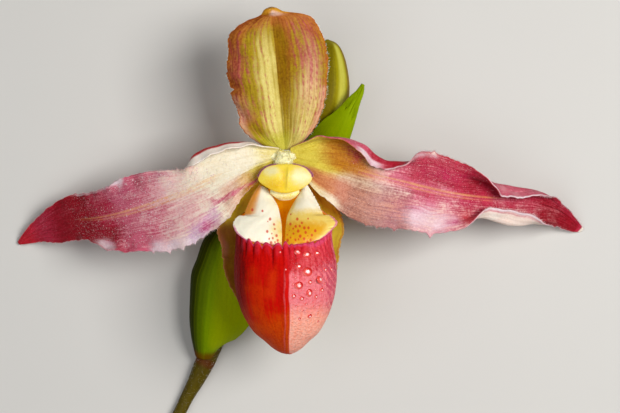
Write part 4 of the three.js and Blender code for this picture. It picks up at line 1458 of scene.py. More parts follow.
@dataclass
class DorsalSepal(Blade):
    """The upright sepal behind the column: two ribbed swells with a groove between them.

    Attributes:
        ribs: Veins on each half.
    """

    ribs: float = 11.0

    def lines(self, u: Array, t: Array) -> Array:
        """Lengthwise veins: 1 on a vein and 0 between two."""
        sway = 1.1 * wander(u + t, self.seed + 3, 0.5, 2.5)
        return 0.5 + 0.5 * np.cos(2 * math.pi * self.ribs * np.abs(t) ** 0.9 + sway)

    def relief(self, u: Array, t: Array) -> Array:
        """Frill, low lengthwise ribs and unevenness.

        Args:
            u: Places along the blade.
            t: Places across it.

        Returns:
            The height at each point.
        """
        uneven = 0.3 * wander(u * 2 + t, self.seed + 4, 0.6, 2.2) * rise(np.abs(t), 0, 0.5)
        own = uneven - 0.09 * self.lines(u, t) * (1 - t**8)
        return super().relief(u, t) + own * rise(u, 0, 0.1) * fall(u, 0.87, 0.1)

    def thickness(self, u: Array, t: Array) -> Array:
        """That of a plain blade, with a round knob at the tip."""
        return super().thickness(u, t) + 2.2 * rise(u, 0.95, 0.03) * np.sqrt(np.clip(1.02 - t**2, 0, 1))

    def pigments(self, u: Array, t: Array) -> Marks:
        """Ochre in the groove and brown at the left margin, both partly painted shade, cream on both banks,
        rust at the margins and the top, rose stripes, and a painted highlight on the knob.

        Args:
            u: Places along the sepal.
            t: Places across it.

        Returns:
            The marks by name.
        """
        side, right, left = np.abs(t), rise(t, 0, 0.2), rise(-t, 0, 0.2)
        flare = 0.07 * wander(u * 3, self.seed + 6, 0.5, 2)
        bent = t + 0.02 * wander(u * 2, self.seed + 8, 0.5, 2)
        stripe = 0.5 + 0.5 * wander(bent, self.seed + 12, 6, 15, 12)
        other = 0.5 + 0.5 * wander(bent + 0.04 * u, self.seed + 13, 6, 15, 12)
        broken = 0.3 + 1.1 * smooth(0.5 + 0.6 * wander(u * 4 + 2.5 * t, self.seed + 15, 1, 6))
        high = rise(u, 0.62, 0.25)
        banks = bell(t, -0.22, 0.24) * (1 - 0.6 * high) + bell(t, 0.6, 0.34) * fall(u, 0.3, 0.45)
        banks = np.clip(banks + 0.5 * fall(u, 0.04, 0.14), 0, 1)
        margin = rise(side, 0.5 - flare + 0.2 * right * (1 - high), 0.4) * rise(u, 0.08, 0.2)
        striped = broken * rise(other, 0.5, 0.25) * band(u, 0.15, 0.85, 0.15)
        return dict(
            # Partly painted shade: darker ochre on the groove's bank that faces away from the key light.
            groove=rise(t, -0.012, 0.02) * fall(t, 0.06 + 0.2 * u, 0.24) * rise(u, 0.08, 0.5),
            fresh=fall(u, 0.06, 0.14) * (1 - 0.7 * rise(t, 0.15, 0.2)),
            cream=banks * (1 - 0.45 * rise(stripe, 0.45, 0.3)),
            rust=(margin + 0.9 * rise(u, 0.8, 0.15)) * (1 - 0.35 * rise(other, 0.5, 0.3))
            + 0.5 * bell(t, 0.32, 0.12) * rise(u, 0.3, 0.4),
            dust=rise(side, 0.8, 0.15) * band(u, 0.08, 0.38, 0.06)
            + spots(
                u, t, (0.6, 0.6, 0.7, 0.2, 0.2), (0.45, 0.36, 0.6, 0.24, 0.3), (0.4, 0.3, -0.75, 0.2, 0.2)
            ),
            # Partly painted shade: brown towards the left margin, which faces away from the key light, and
            # near the top.
            brown=0.6 * rise(side, 0.62 - flare, 0.3) * left * rise(u, 0.16, 0.25)
            + 0.6 * rise(u, 0.86, 0.1) * (0.3 + 0.7 * left) + spots(u, t, (0.3, 0.5, -0.95, 0.05, 0.25)),
            vein=self.lines(u, t) ** 3 * rise(side, 0.06, 0.12) * rise(u, 0.03, 0.2) * (0.5 + 0.5 * right),
            rose=spots(u, t, (0.75, 0.74, 0.62, 0.2, 0.3)) * (0.5 + 0.5 * other)
            + spots(u, t, (0.7, 0.62, -0.8, 0.16, 0.2))
            + 0.5 * striped * (rise(t, 0.3, 0.1) + rise(-t, 0.12, 0.1)),
            rim=rise(side, 0.965, 0.02) * rise(u, 0.05, 0.1),
            tip=rise(u, 0.95, 0.02),
            # Painted highlight: a pinkish-white spot on the round knob at the tip.
            knob=spots(u, t, (1, 0.97, 0.15, 0.02, 0.42)),
        )


SYNSEPAL = dict(
    name="synsepal_blade", node="synsepal", slot=Slot.SYNSEPAL, finish=SYNSEPAL_FINISH,
    side=1, bend=0.7,
    midrib=(
        (0, -3.4, 24.8), (0, -8, 22.4), (0.1, -13, 20.7), (0.1, -18, 19.8), (0.2, -23, 19.4),
        (0.2, -28, 19.3), (0.2, -33, 19.4), (0.2, -38, 19.8), (0.3, -42.5, 20.4), (0.3, -46.5, 21.2),
    ),
    upper=Half(
        width=((0, 1.8), (0.06, 6), (0.125, 12), (0.2, 16.2), (0.3, 18), (0.36, 17.8), (0.42, 17),
               (0.55, 16.3), (0.65, 15.1), (0.7, 13.8), (0.8, 10.6), (0.9, 7.2), (0.95, 4.7), (1, 0.8)),
        lean=FLAT, curl=((0, 0.2), (0.5, 0.5), (1, 0.3)), start=((0, 0.2), (1, 0.2)),
    ),
    lower=Half(
        width=((0, 1.8), (0.06, 5), (0.15, 10.8), (0.2, 13), (0.3, 14.9), (0.35, 15.2),
               (0.42, 14.3), (0.55, 13.5), (0.65, 12.3), (0.72, 10.7), (0.8, 8.4), (0.9, 5.1),
               (0.95, 3), (1, 0.7)),
        lean=FLAT, curl=((0, 0.2), (0.5, 0.5), (1, 0.3)), start=((0, 0.2), (1, 0.2)),
    ),
    rows=200, cells=36, frill=(0.25, 6.0), ragged=0.15, seed=71,
)


@dataclass
class Synsepal(Blade):
    """The two lower sepals grown together behind the pouch.

    Attributes:
        ribs: Ribs on each half.
    """

    ribs: float = 5.0

    def relief(self, u: Array, t: Array) -> Array:
        """Frill and low lengthwise ribs."""
        lines = np.cos(2 * math.pi * self.ribs * np.abs(t))
        return super().relief(u, t) + 0.07 * lines * (1 - t**8) * band(u, 0.1, 0.9, 0.1)

    def pigments(self, u: Array, t: Array) -> Marks:
        """Yellow at the base, painted brighter as light where the petals shade it, brown on its left half,
        partly painted shade, with a rusty margin.

        Args:
            u: Places along the sepal.
            t: Places across it.

        Returns:
            The marks by name.
        """
        side = np.abs(t)
        return dict(
            brown=0.85 * rise(t, 0.1, 0.4) * rise(u, 0.24, 0.15) + spots(u, t, (0.35, 0.2, 0.75, 0.06, 0.3)),
            bright=fall(u, 0.26, 0.12),
            rust=0.8 * rise(side, 0.94, 0.05) + spots(u, t, (0.8, 0.34, 0.84, 0.05, 0.2)),
            vein=0.5 * (0.5 - 0.5 * np.cos(2 * math.pi * self.ribs * side)) ** 2,
            rose=spots(u, t, (0.9, 0.42, 0.98, 0.1, 0.1)),
        )


LOWER_BRACT = dict(
    name="lower_bract_blade", node="lower_bract", slot=Slot.BRACT, finish=BRACT_FINISH,
    side=-1, bend=0.9,
    midrib=(
        (-20.9, -51.9, 5.3), (-20.5, -47.2, 9.4), (-20.1, -42.3, 12.2), (-19.4, -37, 13.8),
        (-18.6, -31.8, 14.8), (-17.3, -26.5, 15.1), (-15.7, -21.5, 15), (-14, -16.8, 14.4),
        (-12, -12.5, 13.6),
    ),
    upper=Half(
        width=((0, 4.2), (0.06, 5.6), (0.12, 6.8), (0.2, 7.7), (0.3, 8.6), (0.4, 9.2), (0.5, 9.6), (0.6, 8.2),
               (0.7, 7.4), (0.8, 5), (0.9, 2.6), (1, 0.6)),
        lean=FLAT, curl=((0, -1.57), (0.3, -1.6), (0.5, -1.5), (1, -1)),
        start=FLAT,
    ),
    lower=Half(
        width=((0, 4.2), (0.06, 5.8), (0.12, 7.8), (0.2, 10), (0.3, 11.4), (0.4, 10.9), (0.5, 9.6),
               (0.6, 7.7), (0.7, 5.7), (0.8, 3.8), (0.9, 2), (1, 0.6)),
        lean=((0, 0), (0.2, 0.1), (1, 0.1)),
        curl=((0, -1.7), (0.06, -1.2), (0.12, -0.6), (0.3, -0.3), (1, -0.2)),
        start=FLAT,
    ),
    rows=180, cells=30, ragged=0.05, seed=91,
)

UPPER_BRACT = dict(
    name="upper_bract_blade", node="upper_bract", slot=Slot.BRACT, finish=BRACT_FINISH,
    side=-1, bend=0.9,
    midrib=(
        (8.2, -5.3, 4.9), (9.7, -2.2, 7.4), (11.5, 1.2, 10), (13.3, 4.8, 12.4), (15, 8.4, 13.8),
        (16.8, 12.1, 14.2), (18.4, 15.4, 13.8), (19.7, 18.1, 12.8),
    ),
    upper=Half(
        width=((0, 4.6), (0.2, 7.4), (0.3, 6.9), (0.4, 6.3), (0.5, 5.4), (0.6, 3.8), (0.7, 2.6),
               (0.8, 1.8), (0.9, 0.8), (1, 0.4)),
        lean=((0, -0.05), (1, -0.05)),
        curl=((0, -1.2), (0.2, -0.6), (0.4, -0.5), (0.6, -0.4), (1, -0.2)), start=FLAT,
    ),
    lower=Half(
        width=((0, 4.6), (0.2, 4.4), (0.4, 3.9), (0.5, 3.4), (0.6, 2.8), (0.7, 2.1), (0.8, 1.5),
               (0.9, 1.2), (1, 0.4)),
        lean=((0, -0.1), (1, -0.1)),
        curl=((0, -1.3), (0.4, -1), (0.6, -0.8), (1, -0.4)), start=FLAT,
    ),
    rows=140, cells=24, ragged=0.04, seed=97, shade=0.0, faint=(0.35, 0.22),
)


@dataclass
class Bract(Blade):
    """A green boat-shaped bract with parallel veins.

    Attributes:
        veins: Veins on each half.
        shade: How far its upper half lies in painted shade, with its lower half painted yellower as lit.
        faint: What is left of the yellow and the deep green where it doesn't.
    """

    veins: float = 8.0
    shade: float = 1.0
    faint: tuple[float, float] = (0.0, 0.0)

    def relief(self, u: Array, t: Array) -> Array:
        """Low parallel veins and a slight keel along the midrib."""
        lines = np.cos(2 * math.pi * self.veins * np.abs(t))
        return (0.035 * lines * (1 - t**8) + 0.06 * bell(t, 0, 0.08)) * fall(u, 0.9, 0.1)

    def pigments(self, u: Array, t: Array) -> Marks:
        """Brown at the base and the tip, pale veins, and painted light and shade: a yellower lit lower half
        and a deep, darker upper half in shade.

        Args:
            u: Places along the bract.
            t: Places across it.

        Returns:
            The marks by name.
        """
        lime, deep = self.faint
        return dict(
            brown=fall(u, 0.01, 0.07) * (0.75 + 0.25 * (t < 0)) + 0.3 * rise(u, 0.97, 0.03),
            lime=np.maximum(self.shade * fall(t, -0.45, 0.6), lime) * rise(u, 0.02, 0.1),
            vein=0.5 * (0.5 + 0.5 * np.cos(2 * math.pi * self.veins * np.abs(t))) ** 3,
            deep=self.shade * rise(t, -0.12, 0.4) + deep * rise(t, -0.2, 0.6),
            dark=self.shade * rise(t, 0.12, 0.4),
        )


# ---------------- lip


@dataclass(frozen=True)
class Lobe:
    """One infolded side lobe of the lip.

    Attributes:
        outer: Its edge along the pouch's rim, from the top down.
        inner: Its edge along the slit.
        spots: Place across and up of each of its red spots.
        seed: Seed of its ragged edge and of the spots' sizes.
    """

    outer: Points
    inner: Points
    spots: Points
    seed: int


LEFT_LOBE = Lobe(
    outer=(
        (-6.3, -7.6, 28), (-7.1, -8.7, 28.6), (-7.9, -10, 29.3), (-8.6, -11.4, 30.1), (-9.2, -12.8, 31),
        (-9.7, -14.1, 32), (-10, -15.5, 33), (-11.3, -15.3, 33.8), (-12.5, -16.6, 34.7),
        (-12.6, -17.8, 35.7), (-11.9, -19.3, 36.7), (-10.7, -20.3, 37.6), (-9.2, -21.3, 38.3),
    ),
    inner=(
        (-4.3, -8.9, 27.5), (-2.8, -11.2, 28.8), (-1.8, -13, 31), (-1.2, -15.3, 33), (-0.8, -17.5, 35),
        (-0.7, -19.7, 37), (-0.7, -22.6, 38.4),
    ),
    spots=(
        (-7.9, -13.9), (-5.5, -14.2), (-3.7, -16.2), (-4.2, -16.8), (-2.7, -17.5), (-2.5, -18.6),
        (-4.3, -19.2), (-3.2, -19.7), (-2, -20.2), (-2.9, -20.8), (-1.8, -21.3), (-3.8, -20.9),
        (-2.4, -21.7), (-3.3, -21.8),
    ),
    seed=4,
)
RIGHT_LOBE = Lobe(
    outer=(
        (5.5, -7.6, 28), (6.2, -8.7, 28.6), (6.9, -9.9, 29.3), (7.6, -11.2, 30.1), (8.3, -12.5, 31),
        (8.9, -13.8, 32), (9.7, -15.2, 33), (11, -15.1, 33.7), (12.3, -16, 34.5), (13, -17.1, 35.5),
        (11.9, -18.4, 36.4), (10.4, -19.8, 37.4), (8.6, -21.1, 38.2),
    ),
    inner=(
        (4.2, -8.9, 27.5), (2.9, -11.1, 28.8), (1.7, -13.1, 31), (0.7, -15.3, 33), (0.3, -17.6, 35),
        (0.1, -20.2, 37), (0.1, -22.8, 38.4),
    ),
    spots=(
        (3.2, -16.2), (5.8, -16.1), (4.3, -17.1), (5.9, -18.3), (3.8, -17.9), (4.9, -18.3), (2.8, -18),
        (1.5, -17.4), (1.3, -18.9), (2.2, -18.5), (2.3, -19.7), (0.7, -20), (5.7, -20.2), (7.5, -19),
        (3.9, -20.3), (4.8, -20.9), (1.5, -20.7), (2.7, -21.2), (3.5, -21), (6.4, -21.1), (1.6, -15),
        (6.7, -20), (0.8, -21.3), (5.6, -21.6), (5.2, -19.4), (3.4, -19.1),
    ),
    seed=9,
)


@dataclass
class Lip:
    """The pouch, its two infolded lobes and the drops of water on it.

    The pouch is a surface of degrees round it (-90 at the back, 0 at the right, 90 in front) and of
    its share from the toe to the rim. level = share * sqrt((rim height - toe) / tall), and the
    height above the toe is tall * level^2. Round each level, x = axis + half * cos, and z swings
    from its middle to the back or the front by a power of the sine.

    Attributes:
        toe_y: Tip of the pouch.
        tall: From its tip to its claw.
        wall: Thickness of the pouch.
        crests: Degrees of the rim's teeth, each the end of a pleat.
        half, axis, middle, front, back: The pouch's sizes by level.
        rim: Height of the rim by degrees.
        left, right: The side lobes.
        swell: How far a lobe bulges between its edges.
        drops: Place across and up, breadth and length of each big drop.
        outer, normals: Points of the finished outer skin and its normals.
    """

    toe_y: float = -49.5
    tall: float = 45.0
    wall: float = 0.8
    crests: tuple[float, ...] = (
        -90, -60, -30, -8, 10, 21, 30, 38, 46.5, 54.9, 64.2, 74.3, 80.8, 87.5, 96.5, 110.5, 122, 134.4,
        145, 158, 174, 200, 235, 270,
    )
    half: Knots = (
        (0, 0), (0.07, 1.4), (0.18, 3.6), (0.27, 5.6), (0.338, 7.8), (0.416, 9.6), (0.5, 11.2),
        (0.585, 12.3), (0.66, 12.75), (0.71, 12.7), (0.77, 12.15), (0.815, 11.9), (0.855, 12.3),
        (0.875, 11.2), (0.907, 8.7), (0.937, 7.5), (0.966, 6.2), (1, 4),
    )
    axis: Knots = ((0, 0.8), (0.3, 0.5), (0.5, 0.2), (0.7, 0.15), (0.8, -0.2), (1, 0))
    middle: Knots = ((0, 30), (0.5, 31), (0.74, 31.5), (0.85, 33), (0.9, 30.6), (0.95, 29), (1, 28))
    front: Knots = (
        (0, 30), (0.18, 33.6), (0.32, 37), (0.46, 40.4), (0.57, 42.3), (0.66, 43), (0.74, 42.4),
        (0.8, 41), (0.85, 39.5), (1, 34),
    )
    back: Knots = (
        (0, 30), (0.18, 26.4), (0.28, 24.2), (0.41, 22.4), (0.57, 21.4), (0.74, 21.1),
        (0.85, 21.6), (0.93, 23.4), (1, 26),
    )
    rim: Knots = (
        (-90, -5.3), (-45, -9), (-20, -14), (0, -17), (12, -18.3), (28, -19.7), (40, -20.9), (50, -21.7),
        (62, -21.9), (90, -22.3), (118, -22.1), (131, -21.6), (141, -20.8), (157, -19.4), (170, -18),
        (180, -17), (200, -14), (225, -9), (270, -5.3),
    )
    left: Lobe = LEFT_LOBE
    right: Lobe = RIGHT_LOBE
    swell: float = 1.8
    drops: Points = (
        (3.5, -32.2, 1.15, 1.0), (8.6, -30.9, 1.2, 1.0), (5.7, -28.8, 1.3, 1.15), (6.2, -31.5, 0.6, 0.6),
        (6.0, -34.2, 0.85, 1.05), (9.2, -33.4, 0.55, 0.5), (7.8, -35.0, 0.5, 0.5), (4.3, -35.3, 0.6, 0.55),
        (2.3, -34.9, 0.6, 0.55), (6.2, -39.8, 0.62, 0.6), (3.8, -40.4, 0.35, 0.35), (3.6, -27.7, 0.75, 0.65),
        (5.5, -24.5, 1.1, 0.8), (3.1, -23.9, 0.9, 0.7), (8.0, -24.3, 0.7, 0.55), (9.9, -28.4, 0.6, 0.55),
        (11.4, -28.2, 0.4, 0.6), (0.5, -28.3, 0.3, 0.3), (5.3, -36.8, 0.35, 0.3), (7.2, -37.4, 0.25, 0.25),
        (2.9, -37.2, 0.3, 0.3), (2.9, -30.2, 0.3, 0.25), (9.9, -31.9, 0.28, 0.25), (4.6, -38.4, 0.25, 0.25),
        (7.6, -33.1, 0.28, 0.28), (2.1, -31.8, 0.25, 0.25), (-0.9, -24.0, 0.3, 0.3), (8.3, -41.2, 0.3, 0.3),
    )
    outer: Array = later()
    normals: Array = later()

    def pleats(self, degrees: Array) -> Array:
        """Round folds with sharp valleys that end in the rim's teeth: |cos| of half a turn each."""
        phase = np.interp(degrees, self.crests, np.arange(len(self.crests)))
        return 2 * np.abs(np.cos(math.pi * phase)) ** 0.9 - 1

    def pouch(self, degrees: Array, share: Array) -> Array:
        """Points of the pouch's outer surface, without its relief.

        Args:
            degrees: Places round the pouch.
            share: Places from the toe to the rim.

        Returns:
            A point for each pair.
        """
        c, s = np.cos(np.radians(degrees)), np.sin(np.radians(degrees))
        toothed = rise(degrees, 8, 40) * fall(degrees, 136, 24)
        tooth = 0.16 + 0.4 * rise(degrees, 84, 8) + 0.16 * wander(degrees / 60, 23, 1, 5)
        top = profile(self.rim, degrees) + toothed * tooth * self.pleats(degrees)
        top = top + 0.6 * bell(degrees, 87.5, 3)
        level = share * np.sqrt((top - self.toe_y) / self.tall)
        sizes = (self.half, self.axis, self.middle, self.front, self.back)
        half, axis, middle, front, back = (profile(k, level) for k in sizes)
        keel = 0.9 * np.exp(-np.abs(half * c) / 2.6) * fall(level, 0.55, 0.3)
        fore = middle + (front - middle) * np.abs(s) ** 0.92 + keel * smooth(s * 12)
        aft = middle - (middle - back) * np.abs(s) ** 0.8
        y = self.toe_y + self.tall * level**2
        return np.stack([axis + half * c, y, np.where(s > 0, fore, aft)], -1)

    def _folds(self, x: Array, y: Array, part: Array) -> Array:
        """Slanting waves of the skin, as used for its wrinkles' height and their colour."""
        slant = x * 0.75 + y * 0.45
        return np.sin(2 * math.pi * (slant + 0.35 * wander(part * 4, 31, 0.5, 2)))

    def _pouch_relief(self, outer: Array, degrees: Array, part: Array) -> Array:
        """Height of the pouch's pleats, fine streaks, broad unevenness and wrinkles.

        Args:
            outer: The smooth surface.
            degrees: Places round the pouch.
            part: Places from the toe to the rim.

        Returns:
            The height at each point.
        """
        x, y = outer[..., 0], outer[..., 1]
        before = rise(degrees, 14, 18) * fall(degrees, 148, 18)
        deep = 0.1 + 0.16 * rise(degrees, 84, 8)
        pleated = rise(part, 0.9 - 0.03 * wander(degrees / 60, 24, 1, 4), 0.1) ** 1.2
        place = degrees / 360 + 0.03 * wander(part, 3, 0.5, 2)
        streaks = 0.02 * wander(place, 19, 20, 70, 22) * rise(part, 0.1, 0.3)
        uneven = 0.12 * wander(part * 3 + degrees / 70, 29, 0.6, 1.8)
        wrinkles = 0.16 * self._folds(x, y, part) * rise(x, 4.5, 4) * band(-y - 22, 0.5, 8, 3)
        return streaks + (uneven + wrinkles + deep * pleated * self.pleats(degrees)) * before

    def _pouch_pigments(self, rings: Array, u: Array, v: Array, out: Array) -> Marks:
        """Where each pigment lies on the pouch, with its painted sheen, highlights, shade and glow among
        them.

        Args:
            rings: Its points.
            u: Places from the toe to the rim.
            v: Degrees round it.
            out: 1 on its outer skin and 0 on its inner one.

        Returns:
            The marks by name.
        """
        x, y, z = (rings[..., k] for k in range(3))
        level = -(y + 22)
        crest = 0.5 + 0.5 * self.pleats(v)
        low, flank = rise(level, 1, 7), rise(z, 30.3, 1.5)
        pleat = rise(u, 0.87 - 0.03 * wander(v / 60, 24, 1, 4), 0.13) * band(v, 16, 164, 10) * out
        seam = x - 0.16 * wander(level / 30, 37, 1, 6)
        # Painted sheen: pink over the right half, partly pink pigment and partly the key light's broad
        # reflection on the waxy skin, painted; the blush carries it on towards the toe.
        east = rise(x + (seam - x) * low, 0.9 + 2.2 * (1 - low), 0.6 + 4 * (1 - low) + 5 * (1 - flank)) * out
        sway = x + 1.2 * wander(level / 30, 38, 0.5, 2)
        ember = band(sway, -8.5, -3, 2.5) * (0.6 + 0.5 * wander(x / 14, 39, 1, 3)) * rise(level, 2, 8)
        wet = rise(u, 0.8, 0.15) * band(v, 20, 82, 12) + spots(x, level, (1, 4.2, 2.5, 2.8, 3.2))
        lines = bell(seam, 0.8, 0.2) + 0.3 * bell(seam, -0.5, 0.2)
        # The wrinkles' pink follows the slanting waves: pink pigment with painted highlights along their
        # crests.
        corner = 0.66 * rise(x, 4, 5) * band(level, 0, 6, 8) + 0.5 * rise(x, 9.2, 2) * band(level, 0, 15, 5)
        folds = 0.3 + 0.9 * smooth(0.6 + 0.8 * self._folds(x, y + 22, u))
        return dict(
            toe=rise(level, 10, 16) * out, right=east, blush=east * rise(level, 11, 11),
            # Painted shade: side darkens the left edge, which faces away from the key light.
            side=rise(-x, 6.8, 5) * out, ember=ember * out, wrinkle_pink_and_sheen=corner * folds * out,
            # Painted highlight: paler red on the pleats' crests near the rim.
            wet=np.clip(wet, 0, 1) * out, crest=crest**2 * pleat * rise(u, 0.9, 0.07),
            # Painted shade: darker red down the pleats' valleys.
            valley_shade=(1 - crest) ** 2 * pleat * (1 - 0.6 * rise(x, 2, 3)),
            # Painted highlight: a pale pink line along the keel's crest.
            keel=bell(seam, 0.08, 0.2) * rise(level, 3, 8) * flank * out,
            furrow=lines * rise(level, 12, 6) * flank * out,
            frost_glints=rise(x, 0.8, 1.2) * rise(level, 1, 5) * out,
            rim=rise(u, 0.984 - 0.012 * rise(x, 4, 4), 0.012) * band(v, 10, 170, 10),
            claw=rise(y, -15, 6), inside=1 - out,
        )

    def build_pouch(self) -> None:
        """Makes the pouch: its outer skin with its relief, its inner skin and its rim."""
        sides, rows = 400, 118
        ring = -90 + 360 * np.arange(sides) / sides
        degrees, part = np.meshgrid(ring, np.linspace(0.012, 1, rows + 1) ** 0.9)
        outer = self.pouch(degrees, part)
        height = self._pouch_relief(outer, degrees, part)
        self.outer = outer + grid_normals(outer, True) * height[..., None]
        self.normals = grid_normals(self.outer, True)
        wall = self.wall * (1 - 0.55 * rise(part, 0.86, 0.14))
        inner = self.outer - self.normals * wall[..., None]
        toe = self.pouch(np.array([-90.0]), np.array([0.0]))[0]
        rings = np.concatenate([self.outer, inner[::-1]])
        skin = capped_rings(rings, toe, toe + [0, self.wall * 1.4, 0])
        u, v = np.concatenate([part, part[::-1]]), np.concatenate([degrees, degrees])
        out = np.concatenate([np.ones_like(part), np.zeros_like(part)])
        skin.chart[:-2] = np.stack([u, (v + 90) / 360], -1).reshape(-1, 2)
        marks = {k: m.ravel() for k, m in self._pouch_pigments(rings, u, v, out).items()}
        skin.marks = {k: np.append(m, [m[0], m[-1]]) for k, m in marks.items()}
        skin.dress("pouch", POUCH_FINISH, Slot.LIP, "lip")

    def build_lobe(self, name: str, lobe: Lobe) -> None:
        """Makes one infolded lobe: a swollen sheet between its outer and its inner edge.

        The sheet runs straight from the smoothed outer edge to the inner one, meets the true outer
        edge by the cube of the distance from it, and swells by a sine across and along it.

        Args:
            name: Name of the piece.
            lobe: Its edges and spots.
        """
        rows, cells = 130, 80
        s, t = np.meshgrid(np.linspace(0, 1, rows + 1), np.linspace(0, 1, cells + 1), indexing="ij")
        one, two = path(lobe.outer, s[:, 0]), path(lobe.inner, s[:, 0])
        base = np.column_stack([softened(column, 12.0) for column in one.T])
        grid = base[:, None] + (two - base)[:, None] * t[..., None]
        grid = grid + (one - base)[:, None] * (1 - t[..., None]) ** 3
        bulge = self.swell * np.sin(math.pi * (0.1 + 0.9 * s)) ** 0.6
        grid[..., 2] += bulge * np.sin(math.pi * t) + 0.08 * wander(s * 3 + t * 2, lobe.seed, 0.5, 2)
        ragged = wander(s, lobe.seed + 2, 14, 40, 12) * (1 - t) ** 10 * band(s, 0.2, 0.8, 0.15)
        grid = grid + ragged[..., None] * [0.14, 0.06, 0.1]
        right = lobe.outer[0][0] > 0
        normals = grid_normals(grid) * (1 if right else -1)
        half = normals * 0.4 * (0.8 - 0.35 * rise(np.abs(2 * t - 1), 0.7, 0.3))[..., None]
        skin = plate(grid + half, grid - half, np.stack([s, t], -1), not right)
        where = np.array(lobe.spots)
        size = np.random.default_rng(lobe.seed).uniform(0.16, 0.38, len(where))
        gap = np.hypot(grid[..., None, 0] - where[:, 0], 0.8 * (grid[..., None, 1] - where[:, 1]))
        marks = self._lobe_pigments(s, t, -grid[..., 1], right)
        marks["spots"] = smooth(1.35 - gap / size).max(-1)
        skin.marks = {k: np.tile(m.ravel(), 2) for k, m in marks.items()}
        skin.dress(name, LOBE_FINISH, Slot.LIP, "lip")

    @staticmethod
    def _lobe_pigments(s: Array, t: Array, low: Array, right: bool) -> Marks:
        """Where each pigment lies on a lobe: amber at the right one's foot, shade on the left one.

        Args:
            s: Places down the lobe.
            t: Places across it from its outer edge.
            low: Distance below the bloom's middle.
            right: True for the right lobe.

        Returns:
            The marks by name.
        """
        pink = np.maximum(fall(t, 0.02, 0.04), rise(s, 0.98, 0.02))
        if right:
            slit = 0.85 * rise(t, 0.7, 0.3) * rise(low, 10, 3)
            return dict(
                yellow=np.maximum(rise(low, 12, 4), slit),
                amber=rise(low, 14.8, 4.2) * (1 - 0.85 * fall(t, 0.04, 0.28)),
                shade=0.3 * rise(low, 17, 4) * rise(t, 0.85, 0.15), pink=pink * rise(low, 14.5, 1.5),
            )
        return dict(
            yellow=0.75 * rise(t, 0.55, 0.45) * rise(low, 13, 6), amber=0 * s,
            shade=fall(t, 0.08, 0.42) * band(low, 8, 14.6, 1.2), pink=pink * rise(low, 17, 1.5),
        )

    def build_drops(self) -> None:
        """Makes the big drops of water, each on the pouch's surface at its place, their clear look painted as
        shade, light and glint.
        """
        fore = self.outer[..., 2] > 30
        surface, ups = self.outer[fore], self.normals[fore]
        wanted = np.array(self.drops)
        gap = np.linalg.norm(surface[None, :, :2] - wanted[:, None, :2], axis=-1)
        near = gap.argmin(1)
        skin = domes(surface[near], ups[near], wanted[:, 2:], tall=0.42, sides=28, rings=10)
        skin.dress("pouch_drops", DROP_FINISH, Slot.LIP)


# ---------------- centre of the bloom


